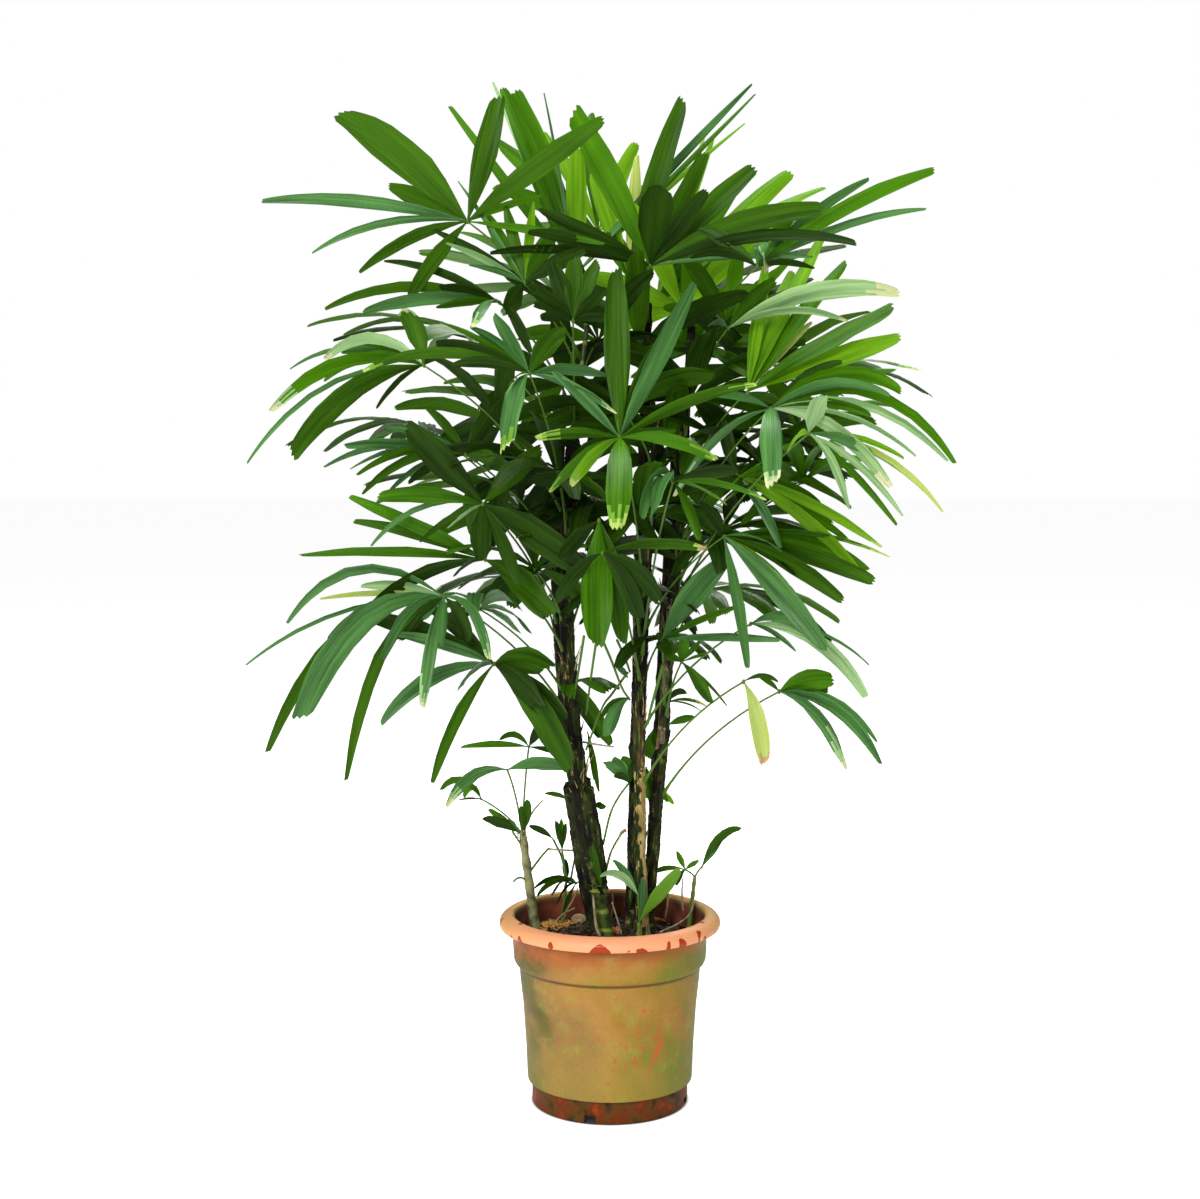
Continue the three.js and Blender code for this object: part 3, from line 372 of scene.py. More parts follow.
def ripple(x, y, size, seed, around=64):
    """Smooth noise from -1 to 1: random values on a square lattice, blended between its corners by a
    smooth step. It repeats after around cells in x."""
    lattice = np.random.default_rng(seed).uniform(-1, 1, (around, 64))
    u, v = np.asarray(x) / size, np.asarray(y) / size
    i, j = np.floor(u).astype(int), np.floor(v).astype(int)
    fu, fv = u - i, v - j
    su, sv = fu * fu * (3 - 2 * fu), fv * fv * (3 - 2 * fv)
    corner = [[lattice[(i + a) % around, (j + b) % 64] for b in (0, 1)] for a in (0, 1)]
    low = corner[0][0] * (1 - su) + corner[1][0] * su
    high = corner[0][1] * (1 - su) + corner[1][1] * su
    return low * (1 - sv) + high * sv


def soil_height(x, y):
    """The soil's surface: level in the middle, lower at the wall, with clods of 30, 11 and 4 mm."""
    radius = np.hypot(x, y)
    edge = np.clip((radius - LEVEL_RADIUS) / SLOPE_WIDTH, 0, 1) ** 2
    clods = 2.2 * ripple(x, y, 30, 1) + 1.6 * ripple(x, y, 11, 2) + 0.9 * ripple(x, y, 4, 3)
    return SOIL_TOP - SOIL_EDGE_DROP * edge + clods * (1 - 0.5 * edge)


wall_side = np.array(inner_wall)[-2:1:-1] + (-SOIL_GAP, SOIL_GAP)
soil_edge = [wall_side[-1, 0], SOIL_TOP - SOIL_EDGE_DROP]
soil_rings = np.linspace(soil_edge[0], 0, SOIL_RINGS)
soil_outline = np.vstack([[[0, FLOOR_THICKNESS + SOIL_GAP]], wall_side,
                          np.stack([soil_rings, np.full(SOIL_RINGS, soil_edge[1])], -1)])
soil_points = revolved(soil_outline, SOIL_TURNS)
top_rows = soil_points[1 - SOIL_RINGS:]
top_rows[..., 2] = soil_height(top_rows[..., 0], top_rows[..., 1])


def potting_soil():
    """Moist peat and composted bark: nearly black, browner on the dry crumbs that stand up, and dull."""
    material, tree, shader, _ = new_finish("potting_soil")
    place = add(tree, "TexCoord").outputs["Object"]
    crumbs = add(tree, "TexNoise", {"Vector": place, "Scale": 210.0, "Detail": 5.0, "Roughness": 0.65})
    patches = add(tree, "TexNoise", {"Vector": place, "Scale": 26.0, "Detail": 3.0})
    shade = add(tree, "Math", {0: patches.outputs["Fac"], 1: 0.5, 2: crumbs.outputs["Fac"]},
                operation="MULTIPLY_ADD")
    colour = add(tree, "ValToRGB", {"Fac": shade.outputs["Value"]}, stops=[
        (0.55, linear("#0c0a05")), (0.75, linear("#1e180b")), (0.92, linear("#3c301a")),
        (1.0, linear("#58472a"))])
    tree.links.new(colour.outputs["Color"], shader.inputs["Base Color"])
    bump = add(tree, "Bump", {"Height": crumbs.outputs["Fac"], "Strength": 0.9, "Distance": 0.002})
    tree.links.new(bump.outputs["Normal"], shader.inputs["Normal"])
    shader.inputs["Roughness"].default_value = 0.9
    shader.inputs["Specular IOR Level"].default_value = 0.12
    return material


put_piece("potting_soil", soil_points.reshape(-1, 3), grid_faces(*soil_points.shape[:2]), [potting_soil()],
          slot="soil", stands_for=["soil"])


def chips(centres, sizes, seed):
    """Broken flakes: a block for each centre, its corners moved by up to a quarter of its size, tilted
    by up to 25 degrees and turned at random about Z."""
    rng = np.random.default_rng(seed)
    corner = np.array([[x, y, z] for x in (-0.5, 0.5) for y in (-0.5, 0.5) for z in (-0.5, 0.5)])
    block = (corner + rng.uniform(-0.25, 0.25, (len(centres), 8, 3))) * sizes[:, None, :]
    turn = rng.uniform(0, 2 * np.pi, len(centres))[:, None]
    tilt = rng.uniform(-0.45, 0.45, (2, len(centres)))[..., None]
    block[..., 2] += block[..., 0] * tilt[0] + block[..., 1] * tilt[1]
    points = about_z(block, turn) + centres[:, None, :]
    return points.reshape(-1, 3), (np.arange(len(centres))[:, None, None] * 8 + BLOCK_FACES).reshape(-1, 4)


def plain_grit(name, low, high, roughness, grain):
    """Bark, husk, clay, stone or dry stalks: two shades mixed by a grain of the given size, and rough. A
    cell of the noise spans two grains, a light and a dark one."""
    material, tree, shader, _ = new_finish(name)
    place = add(tree, "TexCoord").outputs["Object"]
    grit = add(tree, "TexNoise", {"Vector": place, "Scale": 1 / (2 * grain * MM), "Detail": 3.0})
    colour = add(tree, "ValToRGB", {"Fac": grit.outputs["Fac"]}, stops=[
        (0.35, linear(low)), (0.65, linear(high))])
    tree.links.new(colour.outputs["Color"], shader.inputs["Base Color"])
    bump = add(tree, "Bump", {"Height": grit.outputs["Fac"], "Strength": 0.5, "Distance": 0.001})
    tree.links.new(bump.outputs["Normal"], shader.inputs["Normal"])
    shader.inputs["Roughness"].default_value = roughness
    return material


def strewn(count, middle, spread, lift, seed):
    """Places lifted off the soil, spread normally about a middle and kept 10 mm off the wall: the first
    count of three times as many draws that fall inside."""
    rng = np.random.default_rng(seed)
    x, y = rng.normal(0, spread, (2, count * 3)) + np.array(middle)[:, None]
    inside = np.hypot(x, y) < LITTER_RADIUS
    x, y = x[inside][:count], y[inside][:count]
    return np.stack([x, y, soil_height(x, y) + lift], -1)


# Each kind of litter: its places, its shortest and longest length, its narrowest and widest width, its
# greatest thickness and its finish.
litter_rng = np.random.default_rng(8)
bark_places = strewn(420, middle=(0, 10), spread=62, lift=0.8, seed=4)
husk_places = strewn(190, middle=(-80, 76), spread=14, lift=1.4, seed=5)
clay_places = np.vstack([strewn(9, middle=(6, 24), spread=4, lift=2.0, seed=6),
                         strewn(9, middle=(70, 90), spread=4, lift=2.0, seed=7)])
litter = [("bark_chips", bark_places, (3, 11), (1.5, 5), 2.0,
           plain_grit("composted_bark", "#20140b", "#54381f", roughness=0.9, grain=2.0)),
          ("coco_husk", husk_places, (2, 8), (1.5, 5), 2.4,
           plain_grit("coco_husk", "#8a5a1e", "#c89438", roughness=0.85, grain=1.5)),
          ("clay_crumbs", clay_places, (3, 7), (3, 6), 4.5,
           plain_grit("fired_clay", "#a8541f", "#d88a3c", roughness=0.8, grain=2.0))]
for litter_name, centres, lengths, widths, thick, finish in litter:
    count = len(centres)
    flakes = np.stack([litter_rng.uniform(*lengths, count), litter_rng.uniform(*widths, count),
                       litter_rng.uniform(0.4, 1, count) * thick], -1)
    put_piece(litter_name, *chips(centres, flakes, count), [finish], slot="soil")

# The stone is a ball drawn out to 20 by 15 by 14 mm, with dents 7 mm wide.
STONE_PLACE, STONE_HALF = (-41, 76, SOIL_TOP + 5), (10, 7.5, 7)
STONE_ROWS, STONE_TURNS = 17, 25
latitude, longitude = np.meshgrid(np.linspace(-np.pi / 2, np.pi / 2, STONE_ROWS),
                                  np.linspace(0, 2 * np.pi, STONE_TURNS), indexing="ij")
ball = np.stack([np.cos(latitude) * np.cos(longitude), np.cos(latitude) * np.sin(longitude),
                 np.sin(latitude)], -1)
dent = 1 + 0.14 * ripple(ball[..., 0] + ball[..., 2], ball[..., 1], 0.7, 12)
stone_points = ball * dent[..., None] * STONE_HALF + STONE_PLACE
put_piece("pale_stone", stone_points.reshape(-1, 3), grid_faces(STONE_ROWS, STONE_TURNS),
          [plain_grit("limestone_pebble", "#6a5836", "#a08c5e", roughness=0.8, grain=3.0)], slot="soil")


# ---------------------------------------------------------------- canes
# Six bamboo-like canes of 14 to 19 mm. Each is wrapped in the old leaf bases, nets of coarse dark fibre
# that overlap upwards and split at their mouths; where they have gone, the ringed cane shows.

# A cane stands on the soil at foot and ends at top. bow is how far its middle stands to the side, radius
# and tip are its thickness below and above, and slim_from is the share of its height where it thins.
CANES = {
    "left_back": dict(foot=(-13, 45), top=(-60, 45, 905), bow=-25, radius=9.5, tip=5, slim_from=0.8),
    "left_front": dict(foot=(-4, 5), top=(-19, 10, 1068), bow=-44, radius=9.5, tip=3.4, slim_from=0.72),
    "centre_back": dict(foot=(28, 50), top=(49, 30, 1030), bow=0, radius=8, tip=5, slim_from=0.8),
    "centre_front": dict(foot=(43, 0), top=(60, 0, 880), bow=-12, radius=7.5, tip=5, slim_from=0.8),
    "right_back": dict(foot=(50, 62), top=(88, 72, 900), bow=0, radius=7, tip=5, slim_from=0.8),
    "right_front": dict(foot=(48, 27), top=(104, 20, 1000), bow=2, radius=8, tip=5, slim_from=0.8),
}
SHEATH_LENGTH, SHEATH_STEP, FOOT_FLARE, RING_SPACING = 90.0, 0.09, 0.22, 26.0
CANE_TURNS, CANE_ROW, MOSS_TOP = 40, 2.6, 760
DARK, TAN, RINGED, STRAW, BROWN, MOSSY = range(6)
# A wave node of scale 1 repeats every 0.314 m.
WAVE_CYCLE = 0.314

# What covers each cane besides dark fibre: heights from and to, and the finish there. Tan, straw and
# mossy lie on a sheath; ringed and brown are bare cane. WORN is how much of the rest is worn to tan.
COVER = {
    "left_front": [(205, 276, RINGED), (860, 1100, RINGED)],
    "centre_back": [(205, 232, BROWN)],
    "centre_front": [(205, 430, STRAW), (430, 500, TAN)],
    "right_back": [(205, 236, BROWN), (236, 430, TAN)],
    "right_front": [(205, 236, RINGED), (456, 640, BROWN)],
}
WORN = {"left_back": 0.2, "left_front": 0.3, "centre_back": 0.16, "centre_front": 0.3, "right_back": 0.3,
        "right_front": 0.24}
# Where algae has turned a side of a cane green: the direction of that side from +X and how much of it,
# from 0 to 1. It grows no higher than MOSS_TOP.
MOSS_SIDE = {"left_front": (-40, 0.34), "left_back": (-120, 0.2), "right_front": (-30, 0.46),
             "centre_front": (-150, 0.3), "centre_back": (-90, 0.2), "right_back": (-60, 0.3)}
# Where the old leaf bases stand off loosely: heights from and to, and by how much at most.
LOOSE = {"left_back": (206, 404, 7.0), "left_front": (256, 408, 6.0), "right_front": (420, 470, 1.6)}


def cane_axis(cane, t):
    """A cane's axis at the share t of its height: straight from foot to top, bowed sideways by a sine."""
    t = np.asarray(t, float)[..., None]
    foot, top = np.array([*cane["foot"], SOIL_TOP]), np.array(cane["top"], float)
    return foot + (top - foot) * t + np.array([cane["bow"], 0, 0]) * np.sin(np.pi * t)


def cane_radius(cane, t):
    """The cane thins slowly, and from slim_from up at once where only the spear is left; its foot flares."""
    rise = np.clip((t - cane["slim_from"]) / 0.08, 0, 1)
    slim = rise * rise * (3 - 2 * rise)
    stout = cane["radius"] * (1 - 0.08 * t)
    return (stout + (cane["tip"] - stout) * slim) * (1 + FOOT_FLARE * np.exp(-t / 0.03))


def fibre_sheath(name, dark, brown, tan, tan_from):
    """Coarse net of palm fibre, 1.5 mm strands drawn at 2.5 mm so that they show: near black in the hollows,
    which is partly painted shade, brown, and tan on the strands that stand out. Dull, as dry fibre is."""
    material, tree, shader, _ = new_finish(name)
    along = add(tree, "TexCoord").outputs["UV"]
    drawn = add(tree, "Mapping", {"Vector": along, "Scale": (400.0, 22.0, 1.0)})
    strands = add(tree, "TexNoise", {"Vector": drawn.outputs["Vector"], "Scale": 1.0, "Detail": 4.0,
                                     "Roughness": 0.6})
    worn_place = add(tree, "Mapping", {"Vector": along, "Scale": (90.0, 24.0, 1.0)})
    worn = add(tree, "TexNoise", {"Vector": worn_place.outputs["Vector"], "Scale": 1.0, "Detail": 4.0,
                                  "Roughness": 0.65})
    # The strand noise that raises the bump also darkens the hollows: painted shade.
    shade = add(tree, "Mix", {0: 0.55, 2: strands.outputs["Fac"], 3: worn.outputs["Fac"]})
    colour = add(tree, "ValToRGB", {"Fac": shade.outputs[0]}, stops=[
        (tan_from - 0.17, linear(dark)), (tan_from - 0.07, linear(brown)), (tan_from - 0.02, linear(brown)),
        (tan_from + 0.03, linear(tan))])
    tree.links.new(colour.outputs["Color"], shader.inputs["Base Color"])
    bump = add(tree, "Bump", {"Height": strands.outputs["Fac"], "Strength": 0.8, "Distance": 0.0015})
    tree.links.new(bump.outputs["Normal"], shader.inputs["Normal"])
    shader.inputs["Roughness"].default_value = 0.85
    shader.inputs["Specular IOR Level"].default_value = 0.12
    return material


def bare_cane(name, low, high, ring, roughness):
    """Bare cane: smooth and waxy, paler in soft lengthwise streaks and blotches, with a pale scar every
    26 mm where a leaf base has come off."""
    material, tree, shader, _ = new_finish(name)
    along = add(tree, "TexCoord").outputs["UV"]
    drawn = add(tree, "Mapping", {"Vector": along, "Scale": (190.0, 40.0, 1.0)})
    streaks = add(tree, "TexNoise", {"Vector": drawn.outputs["Vector"], "Scale": 1.0, "Detail": 4.0})
    colour = add(tree, "ValToRGB", {"Fac": streaks.outputs["Fac"]}, stops=[
        (0.36, linear(low)), (0.64, linear(high))])
    scars = add(tree, "TexWave", {"Vector": along, "Scale": WAVE_CYCLE / (RING_SPACING * MM),
                                  "Distortion": 1.2, "Detail": 1.0, "Detail Scale": 3.0},
                bands_direction="Y")
    scar_mask = add(tree, "MapRange", {"Value": scars.outputs["Fac"], "From Min": 0.86, "From Max": 0.97,
                                       "To Max": 0.8})
    scarred = add(tree, "Mix", {0: scar_mask.outputs["Result"], 6: colour.outputs["Color"],
                                7: linear(ring)}, data_type="RGBA")
    tree.links.new(scarred.outputs[2], shader.inputs["Base Color"])
    shader.inputs["Roughness"].default_value = roughness
    return material


# In the order DARK, TAN, RINGED, STRAW, BROWN, MOSSY.
CANE_FINISHES = [
    fibre_sheath("dark_palm_fibre", "#070805", "#1d1c0e", "#62582f", tan_from=0.6),
    fibre_sheath("worn_palm_fibre", "#14110a", "#3f341b", "#8c7644", tan_from=0.56),
    bare_cane("ringed_green_cane", "#1f2c08", "#465a16", "#8c9434", roughness=0.45),
    fibre_sheath("straw_sheath", "#362a14", "#7c6a3a", "#a2905a", tan_from=0.5),
    bare_cane("brown_cane", "#3c2c1a", "#6a5434", "#8a7a4c", roughness=0.5),
    fibre_sheath("mossy_fibre", "#0d1108", "#252e11", "#596529", tan_from=0.56),
]


def sheathed_cane(name, cane, seed):
    """A skin along the axis. Its radius is the cane's, plus a step that grows along each sheath and
    drops at its slanting, frayed mouth, plus lengthwise fibre ridges of 0.5 mm; bare cane is thinner
    and has shallow rings. A loose sheath stands off more and more from 40 mm above its lower end.
    Returns the points, their uv and the finish of every face."""
    height = cane["top"][2] - SOIL_TOP
    rows = int(height / CANE_ROW)
    t, angle = np.linspace(0, 1, rows)[:, None], np.linspace(0, 2 * np.pi, CANE_TURNS + 1)[None, :]
    z = SOIL_TOP + t * height
    level = z + 0 * angle
    girth = angle * cane["radius"]

    def ripples(along, count, lot):
        """Smooth noise with that many ripples round the cane, of the same length along it."""
        return ripple(girth, along, 2 * np.pi * cane["radius"] / count, seed + lot, count)

    ragged = level + 9 * ripples(level, 10, 90) + 5 * ripples(level, 22, 91)
    slant = 0.24 * np.cos(angle - 2.4 * np.floor(z / SHEATH_LENGTH)) + (ragged - level) / 120
    phase = z / SHEATH_LENGTH + slant + seed * 0.37
    along_sheath = phase - np.floor(phase)
    thinner = 1 - np.clip((t - cane["slim_from"]) / 0.1, 0, 0.75)
    sheath = cane["radius"] * SHEATH_STEP * (along_sheath ** 0.7 * 2.1 - 1.0)
    fibre = 0.55 * ripples(level, 26, 20)
    strands = 0.45 * ripples((z + 6 * np.sin(angle)) / 9, 20, 40)
    lumps = 0.8 * ripples(level / 3, 4, 60)

    worn = 0.5 + 0.3 * ripples(level / 1.8, 8, 80) + 0.25 * ripples(level / 1.5, 17, 81)
    finish = np.where(worn * 0.75 + (1 - along_sheath) * 0.25 < WORN[name], TAN, DARK)
    for low, high, kind in COVER.get(name, []):
        finish = np.where((ragged > low) & (ragged < high), kind, finish)
    side, share = MOSS_SIDE.get(name, (0, 0))
    facing = np.cos(angle - np.radians(side)) * 0.5 + 0.5 + 0.45 * ripples(level / 2.2, 12, 70)
    mossy = (share > 0) & (facing > 1.15 - share) & (finish != RINGED) & (z < MOSS_TOP)
    finish = np.where(mossy, MOSSY, finish)
    is_bare = np.isin(finish, (RINGED, BROWN)).astype(float)
    ringed = 0.5 * np.clip(np.sin(z * 2 * np.pi / RING_SPACING) * 6 - 4.6, 0, 1)
    relief = (sheath + fibre + strands + lumps) * (1 - is_bare) + (ringed - 0.16 * cane["radius"]) * is_bare
    low, high, most = LOOSE.get(name, (0, 1, 0))
    loose = np.clip((ragged - low) / 40, 0, 1) * (ragged < high) * most
    radius = cane_radius(cane, t) + relief * thinner + loose
    # The tip ends in a point, and the last column of points closes the seam on the first.
    radius[-1] = 0.01
    radius[:, -1] = radius[:, 0]
    axis = cane_axis(cane, t[:, 0])[:, None, :]
    points = axis + np.stack([radius * np.cos(angle), radius * np.sin(angle), 0 * radius], -1)
    uv = np.stack([girth + 0 * z, level], -1)
    return points, uv, finish[:-1, :-1].ravel()


for number, (name, cane) in enumerate(CANES.items()):
    points, uv, finish = sheathed_cane(name, cane, number + 1)
    put_piece(f"cane_{name}_skin", points.reshape(-1, 3), grid_faces(*points.shape[:2]), CANE_FINISHES,
              finish_of=finish, uv=uv.reshape(-1, 2), slot="cane", stands_for=[f"cane_{name}"])


def unit(vectors):
    """Vectors scaled to length 1."""
    return vectors / np.linalg.norm(vectors, axis=-1, keepdims=True)


def tubes(paths, radii, sides):
    """Round rods along paths: rings of points square to each path, started from a side that is level,
    and closed by one point at both ends. paths is rods by points by 3; radii is rods by points."""
    along = unit(np.gradient(paths, axis=1))
    level = unit(np.cross(along, (0.31, 0.17, 1.0)))
    other = np.cross(along, level)
    angle = np.linspace(0, 2 * np.pi, sides + 1)[:, None]
    ring = np.cos(angle) * level[:, :, None, :] + np.sin(angle) * other[:, :, None, :]
    skin = paths[:, :, None, :] + radii[:, :, None, None] * ring
    ends = [np.repeat(paths[:, end, None, None, :], sides + 1, axis=2) for end in (0, -1)]
    points = np.concatenate([ends[0], skin, ends[1]], axis=1)
    return points.reshape(-1, 3), grid_faces(points.shape[1], sides + 1, len(paths))


def strands_from(cane_names, heights, lengths, outward, thick, seed):
    """Fibres and splinters that stand off a cane: each leaves it at a height and a direction drawn by
    lot, rises, leans out by the share outward of its length, and bends a little to one side."""
    rng = np.random.default_rng(seed)
    count = len(heights)
    s = np.linspace(0, 1, 6)[:, None]
    paths = []
    for height, cane_name in zip(heights, cane_names):
        cane = CANES[cane_name]
        t = (height - SOIL_TOP) / (cane["top"][2] - SOIL_TOP)
        angle = rng.uniform(0, 2 * np.pi)
        out = np.array([np.cos(angle), np.sin(angle), 0])
        across = np.array([-out[1], out[0], 0])
        length = rng.uniform(*lengths)
        lean = outward * rng.uniform(0.3, 1.0)
        paths.append(cane_axis(cane, t) + out * cane_radius(cane, t) * 0.93
                     + length * (out * lean * s + np.array([0, 0, 1]) * (s - 0.35 * lean * s ** 2)
                                 + across * rng.uniform(-0.35, 0.35) * s ** 2))
    radii = np.linspace(1, 0.25, 6)[None, :] * rng.uniform(*thick, (count, 1))
    return tubes(np.array(paths), radii, sides=4)


# Thin fibres all the way up, stiff splinters at the mouths of the sheaths, and torn tufts of straw.
FIBRES, SPLINTERS = 260, 110
strand_rng = np.random.default_rng(31)
fibre_canes = strand_rng.choice(list(CANES), FIBRES)
fibre_heights = strand_rng.uniform(230, 760, FIBRES)
fibres = strands_from(fibre_canes, fibre_heights, lengths=(7, 22), outward=0.45, thick=(0.25, 0.55),
                      seed=32)
put_piece("loose_fibres", *fibres,
          [plain_grit("dry_palm_fibre", "#2c2014", "#85693f", roughness=0.85, grain=4.0)], slot="cane")
splinter_canes = strand_rng.choice(list(CANES), SPLINTERS)
splinter_heights = strand_rng.uniform(240, 700, SPLINTERS)
splinters = strands_from(splinter_canes, splinter_heights, lengths=(8, 24), outward=0.35, thick=(0.7, 1.7),
                         seed=33)
put_piece("torn_leaf_bases", *splinters,
          [plain_grit("split_leaf_base", "#140e09", "#4a3822", roughness=0.85, grain=5.0)], slot="cane")
# Each tuft: its cane, its height and its number of strands.
tufts = [("left_front", 426, 12), ("left_front", 398, 10), ("left_back", 412, 8), ("centre_front", 560, 10),
         ("centre_front", 500, 8), ("right_front", 590, 8), ("left_front", 560, 7)]
tuft_names = [name for name, _, count in tufts for _ in range(count)]
tuft_heights = np.concatenate([strand_rng.normal(height, 7, count) for _, height, count in tufts])
straw = strands_from(tuft_names, tuft_heights, lengths=(12, 34), outward=0.4, thick=(0.6, 1.3), seed=34)
put_piece("straw_tufts", *straw,
          [plain_grit("torn_straw", "#7a6234", "#c0a468", roughness=0.8, grain=5.0)], slot="cane")


# ---------------------------------------------------------------- fronds
# Forty-eight leaves. Each is a thin petiole that grows out of a sheath and ends in a fan of pleated,
# strap-shaped leaflets with blunt toothed tips; the older ones arch and have dried or yellow tips.

EVEN_FAN = dict(lengths=[0.5, 0.7, 0.9, 1, 1, 0.9, 0.7, 0.5], widths=[1, 0.9, 1, 1, 1, 0.9, 1, 0.9])
SMALL_FAN = dict(lengths=[0.6, 0.8, 1, 0.9, 1, 0.8, 0.6], widths=[1, 0.9, 1, 1, 1, 0.9, 1])
